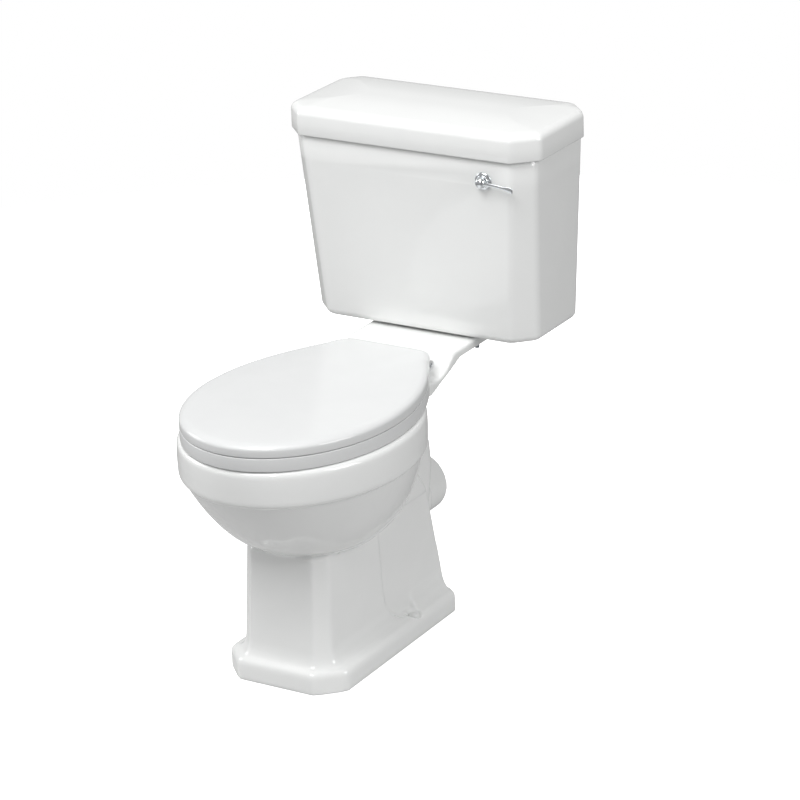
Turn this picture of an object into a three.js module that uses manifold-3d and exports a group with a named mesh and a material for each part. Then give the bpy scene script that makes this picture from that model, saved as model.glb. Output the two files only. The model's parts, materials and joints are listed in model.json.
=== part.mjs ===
// A close coupled toilet: a pedestal pan, its seat, and the cistern bolted on top of it.
// Millimetres, +Z up. The origin is on the floor, midway between the wall and the front of the rim.
// The front faces -Y, and places are given by their distance out from the wall.

import * as THREE from 'three';
import { mergeVertices } from 'three/addons/utils/BufferGeometryUtils.js';
import Module from 'manifold-3d';

const wasm = await Module();
wasm.setup();

// ---------------------------------------------------------------- driving dimensions

const projection = 751; // wall to the front of the rim
const gap = 0.3; // left between pieces that touch

const plinth = { half: 108.4, chamfer: 40.5, front: 643, back: 268, edge: 27, shoulder: 37, top: 68 };
const shaftFoot = { half: 78.6, chamfer: 21, front: 621.5, back: 258 };
const shaftHead = { half: 74.5, chamfer: 19.2, front: 610.6, back: 288, z: 211 };
const shaftRear = { z: 290, front: 590, back: 352 };

const bowl = { centre: 533.9, half: 171.5, front: 211, rear: 225, top: 345.6 };
const bowlFoot = { centre: 510, half: 91, front: 99, rear: 223, z: 216 };
const footRing = { half: 100, front: 113, rear: 200, centre: 503, z: 213, height: 10 };
const rim = { half: 179.5, front: 217.1, rear: 229, bottom: 345.6, top: 404.5 };
const rimMouth = { half: 125, front: 165, rear: 172, lip: 362 };
const rimChannel = { inner: 10, outer: 11, rear: 225, floor: 371, roof: 394, holes: 18, holeRadius: 3 };

const platform = { half: 99, back: 22, front: 235, z: 432.5, thickness: 14 };
const deck = { start: 276, end: 350, z: rim.top };
const outlet = { z: 178.9, radius: 50.2, bore: 43, end: 186.5 };
const inlet = { out: 105, seat: 50, throat: 32 };

const cistern = { bottom: 436.1, headZ: 747, top: 760, wall: 11, floor: 12, step: 3, rearChamfer: 20 };
const cisternFoot = { half: 203.3, chamfer: 33.9, front: 178.7 };
const cisternHead = { half: 219.8, chamfer: 29.8, front: 200.7 };
const lid = { half: 229.7, chamfer: 36.7, front: 207.3, skirt: 746.8, shoulder: 781.4, top: 797, play: 1.2 };

const seat = { half: 170.4, front: 215.6, centre: 533.9, back: 270, ringBottom: 407.5, ringTop: 427 };
const seatMouth = { half: 112, front: 160, rear: 149 };
const seatLid = { bottom: 429.2, edge: 441, crown: 451 };
const hinge = { out: 282, z: 424, x: 66, boltOut: 302, pinRadius: 3.5, lug: 13.5, ends: [47, 85] };

const flush = { x: 140.5, z: 711, reach: 88, spindle: 84 };
const siphon = { liftX: 52.5, depth: 44, wall: 3, top: 640 };
const valve = { x: -150, out: 80, top: 652, tail: 10.2, radius: 12 };
const coupling = {
  x: 66, headRecess: 10.5, recessDepth: 4, holeRadius: 6.5, boltRadius: 4, boltEnd: 392, plate: 3,
};
const pocket = { x: 94, out: 377, radius: 12, floor: 30, screwHole: 4.5 };
const relief = { depth: 1.6, half: 3 };
const leastChamfer = 2;

// ---------------------------------------------------------------- finishes

const finishes = {
  china: { color: 0xf4f5f5, roughness: 0.08, metalness: 0 },
  seatPlastic: { color: 0xf7f8f8, roughness: 0.18, metalness: 0 },
  chrome: { color: 0xc9ccd0, roughness: 0.06, metalness: 1 },
  zinc: { color: 0xa9adb2, roughness: 0.35, metalness: 1 },
  brass: { color: 0xb8934a, roughness: 0.3, metalness: 1 },
  whitePlastic: { color: 0xe9eaea, roughness: 0.4, metalness: 0 },
  bluePlastic: { color: 0x3c6fa8, roughness: 0.45, metalness: 0 },
  blackRubber: { color: 0x1d1d1f, roughness: 0.85, metalness: 0 },
  clearRubber: { color: 0xd8d9d6, roughness: 0.6, metalness: 0 },
};

const toilet = new THREE.Group();
const fromWall = (distance) => projection / 2 - distance;

function place(name, geometry, finish, parent = toilet) {
  const mesh = new THREE.Mesh(geometry, new THREE.MeshStandardMaterial(finishes[finish]));
  mesh.name = name;
  parent.add(mesh);
  return mesh;
}

// ---------------------------------------------------------------- solids and booleans

function solid(geometry) {
  const bare = geometry.clone();
  for (const name of ['normal', 'uv']) {
    bare.deleteAttribute(name);
  }
  const merged = mergeVertices(bare, 1e-3);
  const mesh = new wasm.Mesh({
    numProp: 3,
    vertProperties: new Float32Array(merged.attributes.position.array),
    triVerts: new Uint32Array(merged.index.array),
  });
  return new wasm.Manifold(mesh);
}

function geometryOf(manifold) {
  const mesh = manifold.getMesh();
  const geometry = new THREE.BufferGeometry();
  geometry.setAttribute('position', new THREE.BufferAttribute(new Float32Array(mesh.vertProperties), 3));
  geometry.setIndex(new THREE.BufferAttribute(new Uint32Array(mesh.triVerts), 1));
  return geometry;
}

function join(...geometries) {
  const [first, ...rest] = geometries.map(solid);
  return geometryOf(rest.reduce((sum, next) => sum.add(next), first));
}

function cut(body, ...tools) {
  return geometryOf(tools.map(solid).reduce((rest, tool) => rest.subtract(tool), solid(body)));
}

function overlap(first, second) {
  return geometryOf(solid(first).intersect(solid(second)));
}

// A closed skin over level rings of the same number of points, listed anticlockwise from above.
function loft(rings) {
  const count = rings[0].length;
  const middle = (ring) => ring.reduce((sum, p) => sum.add(p), new THREE.Vector3()).divideScalar(count);
  const points = [...rings.flat(), middle(rings[0]), middle(rings.at(-1))];
  const lower = rings.length * count;
  const upper = lower + 1;
  const last = (rings.length - 1) * count;
  const faces = [];
  for (let i = 0; i < count; i += 1) {
    const next = (i + 1) % count;
    faces.push(lower, next, i, upper, last + i, last + next);
    for (let level = 0; level < last; level += count) {
      faces.push(level + i, level + next, level + count + next);
      faces.push(level + i, level + count + next, level + count + i);
    }
  }
  const geometry = new THREE.BufferGeometry();
  const places = points.flatMap((p) => [p.x, p.y, p.z]);
  geometry.setAttribute('position', new THREE.Float32BufferAttribute(places, 3));
  geometry.setIndex(faces);
  return geometry;
}

const box = (width, depth, height, x, y, z) => new THREE.BoxGeometry(width, depth, height).translate(x, y, z);

// An upright cylinder from z0 to z1. Six sides make a hexagon.
function upright(radius, z0, z1, x = 0, y = 0, sides = 16) {
  const cylinder = new THREE.CylinderGeometry(radius, radius, z1 - z0, sides).rotateX(Math.PI / 2);
  return cylinder.translate(x, y, (z0 + z1) / 2);
}

// A cylinder along Y, towards the wall, from y0 to y1.
function towardsWall(radius, y0, y1, x, z, sides = 16) {
  return new THREE.CylinderGeometry(radius, radius, y1 - y0, sides).translate(x, (y0 + y1) / 2, z);
}

function acrossPin(radius, x0, x1, y, z, sides = 16) {
  const cylinder = new THREE.CylinderGeometry(radius, radius, x1 - x0, sides).rotateZ(Math.PI / 2);
  return cylinder.translate((x0 + x1) / 2, y, z);
}

// A profile of [radius, height] points turned about an upright line.
function turned(profile, x = 0, y = 0, sides = 20) {
  const points = profile.map(([radius, height]) => new THREE.Vector2(radius, height));
  return new THREE.LatheGeometry(points, sides).rotateX(Math.PI / 2).translate(x, y, 0);
}

const ringProfile = (inner, outer, z0, z1) => [
  [inner, z0], [outer, z0], [outer, z1], [inner, z1], [inner, z0],
];

// A side view, drawn as [distance from the wall, height], made as wide as 2 x half.
function sideView(outline, half, round = 0) {
  const shape = new THREE.Shape(outline.map(([out, z]) => new THREE.Vector2(fromWall(out), z)));
  const options = {
    depth: 2 * (half - round),
    bevelEnabled: round > 0,
    bevelThickness: round,
    bevelSize: round,
    bevelOffset: -round,
    bevelSegments: 2,
  };
  const geometry = new THREE.ExtrudeGeometry(shape, options).translate(0, 0, round - half);
  // the shape's x becomes +Y, its y becomes +Z, and its depth runs along X
  return geometry.applyMatrix4(new THREE.Matrix4().makeBasis(
    new THREE.Vector3(0, 1, 0), new THREE.Vector3(0, 0, 1), new THREE.Vector3(1, 0, 0)));
}

// ---------------------------------------------------------------- outlines

// Four sided plan with its corners cut off.
function cutCornerRing({ half, chamfer, front, back = 0, backChamfer = 0 }, z) {
  const [y0, y1] = [fromWall(front), fromWall(back)];
  const corners = [
    [half, y0 + chamfer], [half, y1 - backChamfer], [half - backChamfer, y1],
    [backChamfer - half, y1], [-half, y1 - backChamfer], [-half, y0 + chamfer],
    [chamfer - half, y0], [half - chamfer, y0],
  ];
  return corners.map(([x, y]) => new THREE.Vector3(x, y, z));
}

const blend = (a, b, share) => {
  const result = {};
  for (const key of Object.keys(a)) {
    result[key] = a[key] + ((b[key] ?? a[key]) - a[key]) * share;
  }
  return result;
};

const inset = (plan, t) => ({
  ...plan,
  half: plan.half - t,
  front: plan.front - t,
  back: (plan.back ?? 0) + t,
  chamfer: Math.max(leastChamfer, plan.chamfer - t * (2 - Math.SQRT2)),
  backChamfer: Math.max(0, (plan.backChamfer ?? 0) - t * (2 - Math.SQRT2)),
});

// Egg plan: half an ellipse to the front and another to the rear of its widest line.
function eggRing({ half, front, rear, centre }, z, steps = 36) {
  const ring = [];
  for (let i = 0; i < steps; i += 1) {
    const angle = (i / steps) * 2 * Math.PI;
    const reach = Math.sin(angle) < 0 ? front : rear;
    ring.push(new THREE.Vector3(half * Math.cos(angle), fromWall(centre) + reach * Math.sin(angle), z));
  }
  return ring;
}

const grow = (egg, t) => ({ ...egg, half: egg.half + t, front: egg.front + t, rear: egg.rear + t });
const mouthEgg = { ...rimMouth, centre: bowl.centre };

// Seat outline: half ellipse in front, sides that run in to rounded corners and a straight back.
function seatOutline(steps = 8) {
  const shape = new THREE.Shape();
  const [wide, centre, back] = [seat.half, fromWall(seat.centre), fromWall(seat.back)];
  const corner = centre + 228; // where the side ends and the rounded corner starts
  shape.absellipse(0, centre, wide, seat.front, Math.PI, 2 * Math.PI);
  shape.bezierCurveTo(wide, centre + 104, 124, centre + 182, 98, corner);
  shape.quadraticCurveTo(84, back, 60, back);
  shape.lineTo(-60, back);
  shape.quadraticCurveTo(-84, back, -98, corner);
  shape.bezierCurveTo(-124, centre + 182, -wide, centre + 104, -wide, centre);
  const points = shape.getPoints(steps);
  return points.filter((p, i) => p.distanceTo(points[(i + 1) % points.length]) > 1e-6);
}

function seatRing(scale, z) {
  const centre = fromWall(seat.centre - 30);
  return seatOutline().map((p) => new THREE.Vector3(p.x * scale, centre + (p.y - centre) * scale, z));
}

// ---------------------------------------------------------------- pan

// The octagonal foot: an upright edge, a rounded shoulder, then a cove up to the shaft.
function pedestalLevels() {
  const plans = [[0, 0], [plinth.edge, 0]];
  const arcs = 3;
  const onShoulder = 0.42; // share of the way in to the shaft that the shoulder takes
  for (let i = 1; i <= arcs; i += 1) {
    const a = (i / arcs) * (Math.PI / 2);
    const rise = (plinth.shoulder - plinth.edge) * Math.sin(a);
    plans.push([plinth.edge + rise, onShoulder * (1 - Math.cos(a))]);
  }
  for (let i = 1; i <= arcs; i += 1) {
    const a = (i / arcs) * (Math.PI / 2);
    const cove = (plinth.top - plinth.shoulder) * Math.cos(a);
    plans.push([plinth.top - cove, onShoulder + (1 - onShoulder) * Math.sin(a)]);
  }
  return plans;
}

function pedestal() {
  const rings = pedestalLevels().map(([z, share]) => cutCornerRing(blend(plinth, shaftFoot, share), z));
  for (const share of [0.5, 1]) {
    const z = plinth.top + (shaftHead.z - plinth.top) * share;
    rings.push(cutCornerRing(blend(shaftFoot, shaftHead, share), z));
  }
  for (const share of [0.35, 0.7, 1]) {
    const back = shaftHead.back + (shaftRear.back - shaftHead.back) * share ** 1.3;
    const z = shaftHead.z + (shaftRear.z - shaftHead.z) * share;
    rings.push(cutCornerRing({ ...shaftHead, front: shaftRear.front, back }, z));
  }
  return loft(rings);
}

// The bowl swells from its foot ring in one round sweep up to the step under the rim.
function bowlSkin() {
  const rings = [];
  const levels = 7;
  const swell = { sweep: 1.08, power: 1.59 };
  for (let i = 0; i <= levels; i += 1) {
    const rise = Math.sin((i / levels) * (Math.PI / 2));
    const drop = 1 - rise;
    const fullness = Math.max(0, 1 - drop ** swell.sweep) ** (1 / swell.power);
    const z = bowl.top - (bowl.top - bowlFoot.z) * drop;
    rings.push(eggRing(blend(bowlFoot, bowl, fullness), z));
  }
  return loft(rings);
}

function footMoulding() {
  const { z, height } = footRing;
  return loft([
    eggRing(grow(footRing, -3), z),
    eggRing(footRing, z + height * 0.5),
    eggRing(grow(footRing, -5), z + height),
  ]);
}

function rimBand() {
  const egg = { ...rim, centre: bowl.centre };
  return loft([
    eggRing(grow(egg, -6), rim.bottom),
    eggRing(grow(egg, -2), rim.bottom + 1.5),
    eggRing(egg, rim.bottom + 30),
    eggRing(grow(egg, -0.8), rim.top - 9),
    eggRing(grow(egg, -3), rim.top - 3),
    eggRing(grow(egg, -7), rim.top),
  ]);
}

// The shelf that carries the cistern and runs forward and down to the seat deck.
function shelf() {
  const under = platform.z - platform.thickness;
  const outline = [
    [platform.back, platform.z], [platform.front, platform.z], [250, 420], [262, 410], [deck.start, deck.z],
    [deck.end, deck.z], [deck.end, 372], [314, 384], [290, 392], [268, 400], [245, 408],
    [219, under], [platform.back, under],
  ];
  return sideView(outline, platform.half);
}

// The duct under the shelf that carries the flush from the cistern to the rim.
function duct() {
  const outline = [
    [56, 421], [236, 421], [256, 402], [400, 400], [400, 290], [330, 290],
    [300, 306], [240, 336], [190, 357], [140, 374], [56, 380],
  ];
  return sideView(outline, 46, 9);
}

// The trap behind the bowl: up over the weir, then down to the outlet.
function trapCasing() {
  const outline = [
    [440, 190], [440, 345], [345, 345], [300, 338], [262, 318], [238, 285], [233, 240],
    [236, 216], [256, 136], [300, 124], [380, 150],
  ];
  return sideView(outline, 60, 20);
}

function outletSpigot() {
  const [inside, rootEnd, end] = [330, 246, outlet.end].map(fromWall);
  return join(
    towardsWall(outlet.radius + 7, inside, rootEnd, 0, outlet.z, 28),
    towardsWall(outlet.radius, inside, end, 0, outlet.z, 28),
  );
}

function bowlWell() {
  const levels = [
    [222, { half: 34, front: 40, rear: 46, centre: 446 }],
    [242, { half: 72, front: 85, rear: 76, centre: 467 }],
    [280, { half: 113, front: 139, rear: 126, centre: 500 }],
    [320, { half: 139, front: 175, rear: 165, centre: 524 }],
    [rimMouth.lip - 8, { half: 150, front: 190, rear: 180, centre: bowl.centre }],
    [rimMouth.lip, { half: 148, front: 188, rear: 180, centre: bowl.centre }],
  ];
  const hollow = loft(levels.map(([z, egg]) => eggRing(egg, z)));
  const mouth = loft([
    eggRing(grow(mouthEgg, 1), rimMouth.lip - 4),
    eggRing(mouthEgg, rim.top - 8),
    eggRing(grow(mouthEgg, 5), rim.top + 1),
  ]);
  return join(hollow, mouth);
}

// The hollow rim: a channel all the way round, with holes that rinse the bowl.
function channelRing() {
  const outer = grow({ ...rim, rear: rimChannel.rear, centre: bowl.centre }, -rimChannel.outer);
  const inner = grow(mouthEgg, rimChannel.inner);
  const skin = (egg) => loft([eggRing(egg, rimChannel.floor), eggRing(egg, rimChannel.roof)]);
  const core = loft([eggRing(inner, rimChannel.floor - 1), eggRing(inner, rimChannel.roof + 1)]);
  return cut(skin(outer), core);
}

function rinseHoles() {
  const row = grow(mouthEgg, rimChannel.inner + 6);
  const [z0, z1] = [rimMouth.lip - 4, rimChannel.floor + 4];
  return eggRing(row, 0, rimChannel.holes).map((p) => upright(rimChannel.holeRadius, z0, z1, p.x, p.y, 6));
}

// A round passage along a path of [distance from the wall, height] points, in the plane x = 0.
function passage(points, radius, steps, halfSides = 7) {
  const path = new THREE.CatmullRomCurve3(points.map(([out, z]) => new THREE.Vector3(0, fromWall(out), z)));
  const section = new THREE.Shape();
  section.absarc(0, 0, radius, 0, 2 * Math.PI);
  const options = { steps, extrudePath: path, curveSegments: halfSides, bevelEnabled: false };
  return new THREE.ExtrudeGeometry(section, options);
}

function panCuts() {
  const trapLine = [
    [470, 262], [420, 240], [378, 248], [345, 284], [312, 288], [290, 255], [276, 205], [240, 180],
  ];
  const trapWay = passage(trapLine, 33, 15);
  const outletBore = towardsWall(outlet.bore, fromWall(272), fromWall(outlet.end) + 5, 0, outlet.z, 28);
  const flushLine = [[inlet.out, 402], [112, 396], [180, 390], [260, 380], [330, 382]];
  const flushWay = passage(flushLine, 16, 6, 5);
  const { throat, seat: ledge } = inlet;
  const recess = [[0, 386], [throat, 386], [throat, 403], [ledge, 408], [ledge, 440], [0, 440]];
  const sealRecess = turned(recess, 0, fromWall(inlet.out));
  const hollowFoot = { half: 64, chamfer: 12, front: 604, back: 292 };
  const hollow = loft([
    cutCornerRing({ ...hollowFoot, half: 78, front: 616 }, -1),
    cutCornerRing({ ...hollowFoot, half: 78, front: 616 }, 20),
    cutCornerRing(hollowFoot, 52),
    cutCornerRing({ ...hollowFoot, half: 60, front: 597, back: 340 }, 116),
    cutCornerRing({ ...hollowFoot, half: 54, front: 560, back: 400 }, 150),
    cutCornerRing({ ...hollowFoot, half: 40, front: 545, back: 440 }, 184),
  ]);
  const rearDoor = box(96, 125, 101, 0, fromWall(287), 49.5);
  const inside = [bowlWell(), channelRing(), ...rinseHoles()];
  return [trapWay, outletBore, flushWay, sealRecess, hollow, rearDoor, ...inside];
}

// Both sides of the pan: fixing pockets, hinge holes and coupling bolt holes.
function sideCuts(side) {
  const at = (x, out) => [side * x, fromWall(out)];
  const [px, py] = at(pocket.x, pocket.out);
  const [hx, hy] = at(hinge.x, hinge.boltOut);
  const [cx, cy] = at(coupling.x, inlet.out);
  // the rear of each side is set back a little, behind a line that curves down to the pocket
  const setBack = sideView([
    [446, 208], [443, 100], [438, 72], [426, 52], [404, 38], [362, 34],
    [362, 60], [240, 62], [240, 208],
  ], relief.half).translate(side * (shaftHead.half + relief.depth + relief.half), 0, 0);
  return [
    setBack,
    upright(pocket.radius, pocket.floor, plinth.top + 4, px, py, 20),
    upright(pocket.screwHole, -1, pocket.floor + 1, px, py, 12),
    upright(6, 360, 410, hx, hy, 12),
    upright(15, 360, 394, hx, hy, 16),
    upright(coupling.holeRadius, 400, 440, cx, cy, 12),
    upright(coupling.headRecess, platform.z - coupling.recessDepth, 440, cx, cy, 16),
  ];
}

const upperPan = [bowlSkin(), footMoulding(), rimBand(), shelf(), duct()];
const panBody = join(pedestal(), ...upperPan, trapCasing(), outletSpigot());
place('pan', cut(panBody, ...panCuts(), ...sideCuts(1), ...sideCuts(-1)), 'china');

// ---------------------------------------------------------------- floor fixings

function floorScrew(side) {
  const [x, y] = [side * pocket.x, fromWall(pocket.out)];
  const seatZ = pocket.floor + gap;
  return join(upright(3.6, 1, seatZ + 1, x, y, 10), upright(7, seatZ, seatZ + 3, x, y, 14));
}

function screwCap(side) {
  const [x, y] = [side * pocket.x, fromWall(pocket.out)];
  const z = pocket.floor + gap;
  const underside = [[0, z + 5.5], [7.6, z + 4], [7.6, z]];
  const dome = [[9.6, z], [9.6, z + 1.5], [8.4, z + 5.6], [5, z + 8], [0, z + 8.5]];
  return turned([...underside, ...dome, underside[0]], x, y, 18);
}

for (const [side, word] of [[1, 'right'], [-1, 'left']]) {
  place(`floor_screw_${word}`, floorScrew(side), 'zinc');
  place(`screw_cap_${word}`, screwCap(side), 'whitePlastic');
}

// ---------------------------------------------------------------- cistern

const cisternPlan = (z) => {
  const share = (z - cistern.bottom) / (cistern.headZ - cistern.bottom);
  return { ...blend(cisternFoot, cisternHead, share), back: 0, backChamfer: cistern.rearChamfer };
};

function cisternShell() {
  const rounded = [[0, 9], [2, 4.5], [6, 1.2], [12, 0]].map(([rise, t]) => {
    const z = cistern.bottom + rise;
    const plan = inset(cisternPlan(z), t);
    return cutCornerRing({ ...plan, back: Math.min(plan.back, 3) }, z);
  });
  // the top steps in, so that the lid's skirt can hang outside it
  const neck = [[lid.skirt - 1, 0], [lid.skirt + 2, cistern.step], [cistern.top, cistern.step]];
  const outside = loft([...rounded, ...neck.map(([z, t]) => {
    const plan = inset(cisternPlan(z), t);
    return cutCornerRing({ ...plan, back: 0 }, z);
  })]);
  const floorZ = cistern.bottom + cistern.floor;
  const inside = loft([
    cutCornerRing(inset(cisternPlan(floorZ), cistern.wall + 8), floorZ),
    cutCornerRing(inset(cisternPlan(floorZ + 8), cistern.wall), floorZ + 8),
    cutCornerRing(inset(cisternPlan(cistern.top + 1), cistern.wall), cistern.top + 1),
  ]);
  const y = fromWall(inlet.out);
  const [z0, z1] = [cistern.bottom - 1, floorZ + 1];
  const wallScrew = (x) => towardsWall(4, fromWall(cistern.wall + 3), fromWall(-1), x, 700, 12);
  return cut(
    outside, inside,
    upright(30, z0, z1, 0, y, 24),
    upright(valve.tail + 1.3, z0, z1, valve.x, fromWall(valve.out), 16),
    wallScrew(105), wallScrew(-105),
    leverFrame(towardsWall(8.5, -4, cistern.wall + 6, 0, 0, 18)),
  );
}

// The front face leans out towards the top, and the lever's axis is square to it.
const lean = Math.atan((cisternHead.front - cisternFoot.front) / (cistern.headZ - cistern.bottom));
const faceOut = cisternFoot.front + Math.tan(lean) * (flush.z - cistern.bottom);

function leverFrame(geometry) {
  return geometry.rotateX(lean).translate(flush.x, fromWall(faceOut), flush.z);
}

place('cistern', cisternShell(), 'china');

// ---------------------------------------------------------------- cistern lid

function cisternLid() {
  const plan = { half: lid.half, chamfer: lid.chamfer, front: lid.front, back: 0, backChamfer: 30 };
  const levels = [[lid.skirt, 1.2], [lid.skirt + 2, 0], [lid.shoulder - 3, 0]];
  const shoulder = { rise: 12, run: 15, dome: 20, drawBack: 12 };
  const turns = 4;
  for (let i = 1; i <= turns; i += 1) {
    const a = (i / turns) * (Math.PI / 2);
    levels.push([lid.shoulder - 3 + shoulder.rise * Math.sin(a), shoulder.run * (1 - Math.cos(a))]);
  }
  levels.push([794, 34], [796.2, 66], [lid.top, 96]);
  const backOf = (t) => (t > shoulder.dome ? t - shoulder.drawBack : t * 0.4);
  const skin = loft(levels.map(([z, t]) => cutCornerRing({ ...inset(plan, t), back: backOf(t) }, z)));
  // the sleeve that the cistern's neck stands in runs out through the lid's back
  const bottomPlan = { ...inset(cisternPlan(cistern.top), -lid.play), back: -7.2 };
  const neckPlan = { ...inset(cisternPlan(cistern.top), cistern.step - lid.play), back: -8 };
  const sleeve = loft([
    cutCornerRing(bottomPlan, lid.skirt - 1),
    cutCornerRing(bottomPlan, lid.skirt + 2),
    cutCornerRing(neckPlan, lid.skirt + 5),
    cutCornerRing(neckPlan, cistern.top + gap),
  ]);
  const rib = inset(cisternPlan(cistern.top), cistern.wall + 2.5);
  const wellPlan = inset(rib, 6);
  const locating = loft([cutCornerRing(rib, cistern.top - 8), cutCornerRing(rib, cistern.top + 6)]);
  const well = loft([
    cutCornerRing(wellPlan, cistern.top - 9),
    cutCornerRing(wellPlan, 772),
    cutCornerRing(inset(wellPlan, 26), 784),
  ]);
  return cut(join(cut(skin, sleeve), locating), well);
}

place('cistern_lid', cisternLid(), 'china');

// ---------------------------------------------------------------- close coupling set

const plateTop = cistern.bottom - gap;
const plateUnder = plateTop - coupling.plate;

function couplingPlate() {
  const y = fromWall(inlet.out);
  const plate = join(
    box(150, 60, coupling.plate, 0, y, plateTop - coupling.plate / 2),
    upright(22, plateUnder, plateTop, coupling.x - 6, y, 20),
    upright(22, plateUnder, plateTop, 6 - coupling.x, y, 20),
  );
  return cut(plate, upright(29, plateUnder - 1, plateTop + 1, 0, y, 24));
}

function couplingBolt(side) {
  const [x, y] = [side * coupling.x, fromWall(inlet.out)];
  const head = plateUnder - gap;
  const shank = upright(coupling.boltRadius, coupling.boltEnd, head - 1, x, y, 12);
  return join(box(13, 13, 2.6, x, y, head - 1.3), shank);
}

// A nut with two upright wings, under a shelf at z. The wings lie along X, or along Y when turned.
function wingNut(x, out, z, hole, turn = 0) {
  const y = fromWall(out);
  const wings = box(27, 3.4, 12, 0, 0, z - 10).rotateZ(turn).translate(x, y, 0);
  const hub = join(upright(8, z - 9, z, x, y, 16), wings);
  return cut(hub, upright(hole, z - 20, z + 1, x, y, 14));
}

const shelfUnder = platform.z - platform.thickness;
for (const [side, word] of [[1, 'right'], [-1, 'left']]) {
  const [x, y] = [side * coupling.x, fromWall(inlet.out)];
  place(`coupling_bolt_${word}`, couplingBolt(side), 'zinc');
  const washer = ringProfile(4.5, 12, shelfUnder - 3.3, shelfUnder - gap);
  place(`coupling_washer_${word}`, turned(washer, x, y, 18), 'blackRubber');
  place(`coupling_wing_nut_${word}`, wingNut(x, inlet.out, shelfUnder - 3.6, 4.5, Math.PI / 2), 'zinc');
}
place('coupling_plate', couplingPlate(), 'zinc');
const sealProfile = ringProfile(38.9, 48.6, 409, plateUnder - gap);
place('coupling_seal', turned(sealProfile, 0, fromWall(inlet.out), 28), 'blackRubber');

// ---------------------------------------------------------------- siphon

const floorTop = cistern.bottom + cistern.floor;

// An inverted U seen from the front, with its short leg over the tail and its wide leg open below.
function siphonBody() {
  const y = fromWall(inlet.out);
  const { depth, wall, top } = siphon;
  const washer = floorTop + 3.6;
  const outside = join(
    box(54, depth, top - washer - 2, 0, y, (top + washer + 2) / 2),
    box(61, depth, top - 470, siphon.liftX - 2, y, (top + 470) / 2),
    upright(36, washer, washer + 6, 0, y, 24),
    upright(28, 410, washer + 1, 0, y, 20),
    upright(8, top - 1, top + 9, siphon.liftX, y, 14),
  );
  const hollow = depth - 2 * wall;
  return cut(
    outside,
    box(40, hollow, top - wall - washer - 8, 0, y, (top - wall + washer + 8) / 2),
    box(96, hollow, 52, 32, y, top - wall - 26),
    box(51, hollow, top - wall - 460, siphon.liftX + 1, y, (top - wall + 460) / 2),
    upright(18.6, 400, washer + 14, 0, y, 20),
    upright(3.4, top - 10, top + 12, siphon.liftX, y, 12),
  );
}

function siphonPiston() {
  const y = fromWall(inlet.out);
  return cut(
    box(48, 35, 4, siphon.liftX + 1, y, 480),
    upright(2.4, 470, 490, siphon.liftX, y, 10),
  );
}

// The rod hangs the piston from a crossbar that the lever's arm pushes up.
const armTop = flush.z + flush.spindle * Math.sin(lean) + 5;

function liftRod() {
  const y = fromWall(inlet.out);
  const bar = armTop + 4;
  const armOut = faceOut - flush.spindle;
  return join(
    upright(2, 474, bar, siphon.liftX, y, 10),
    upright(5, 474, 477.4, siphon.liftX, y, 12),
    upright(5, 482.6, 486, siphon.liftX, y, 12),
    towardsWall(2, fromWall(armOut + 8), y + 2, siphon.liftX, bar, 10),
  );
}

// A nut on a tail under the cistern, with flats to grip it by.
const backnut = (radius, hole, z0, z1, x, y, sides) => cut(
  upright(radius, z0, z1, x, y, sides),
  upright(hole, z0 - 1, z1 + 1, x, y, 20),
);

const siphonY = fromWall(inlet.out);
const siphonWasher = ringProfile(29, 40, floorTop + gap, floorTop + 3.3);
place('siphon_body', siphonBody(), 'whitePlastic');
place('siphon_washer', turned(siphonWasher, 0, siphonY, 24), 'blackRubber');
place('siphon_backnut', backnut(38, 28.6, 420, plateUnder - gap, 0, siphonY, 8), 'whitePlastic');
place('siphon_piston', siphonPiston(), 'bluePlastic');
place('lift_rod', liftRod(), 'zinc');

// ---------------------------------------------------------------- fill valve and float

const floatPivot = { x: valve.x + 22, z: valve.top + 4, reach: 66 };
const floatDrop = THREE.MathUtils.degToRad(25);

function fillValve() {
  const y = fromWall(valve.out);
  const washer = floorTop + 2.6;
  const body = join(
    upright(valve.tail, 404, washer + 1, valve.x, y, 16),
    upright(17, washer, washer + 6, valve.x, y, 18),
    upright(valve.radius, washer + 5, valve.top, valve.x, y, 18),
    upright(15, valve.top - 30, valve.top + 8, valve.x, y, 18),
    box(16, 4, 12, floatPivot.x - 3, y + 6.5, floatPivot.z),
    box(16, 4, 12, floatPivot.x - 3, y - 6.5, floatPivot.z),
  );
  return cut(
    body,
    upright(6.2, 400, valve.top - 40, valve.x, y, 14),
    towardsWall(2.6, y - 10, y + 10, floatPivot.x, floatPivot.z, 10),
  );
}

const valveY = fromWall(valve.out);
const valveWasher = ringProfile(10.8, 19, floorTop + gap, floorTop + 2.3);
place('fill_valve', fillValve(), 'whitePlastic');
place('fill_valve_washer', turned(valveWasher, valve.x, valveY, 18), 'blackRubber');
place('fill_valve_backnut', backnut(17, 10.6, 426, plateTop, valve.x, valveY, 6), 'whitePlastic');

// The arm and float hang at their lowest, as they do in an empty cistern.
const floatGroup = new THREE.Group();
floatGroup.position.set(floatPivot.x, valveY, floatPivot.z);
floatGroup.rotation.y = floatDrop;
toilet.add(floatGroup);

function floatArm() {
  const pin = towardsWall(2.1, -10, 10, 0, 0, 10);
  const eye = towardsWall(5, -3.6, 3.6, 0, 0, 14);
  const bar = box(37, 4, 7, 20.2, 0, 0);
  return join(pin, eye, bar);
}

place('float_arm', floatArm(), 'whitePlastic', floatGroup);
const floatProfile = [[0, -26], [18, -26], [25, -22], [27, -14], [27, 16], [23, 24], [14, 27], [0, 27]];
place('float', turned(floatProfile, floatPivot.reach, 0), 'bluePlastic', floatGroup);

// ---------------------------------------------------------------- flush lever

const leverGroup = new THREE.Group();
leverGroup.position.set(flush.x, fromWall(faceOut), flush.z);
leverGroup.rotation.x = lean;
toilet.add(leverGroup);

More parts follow.
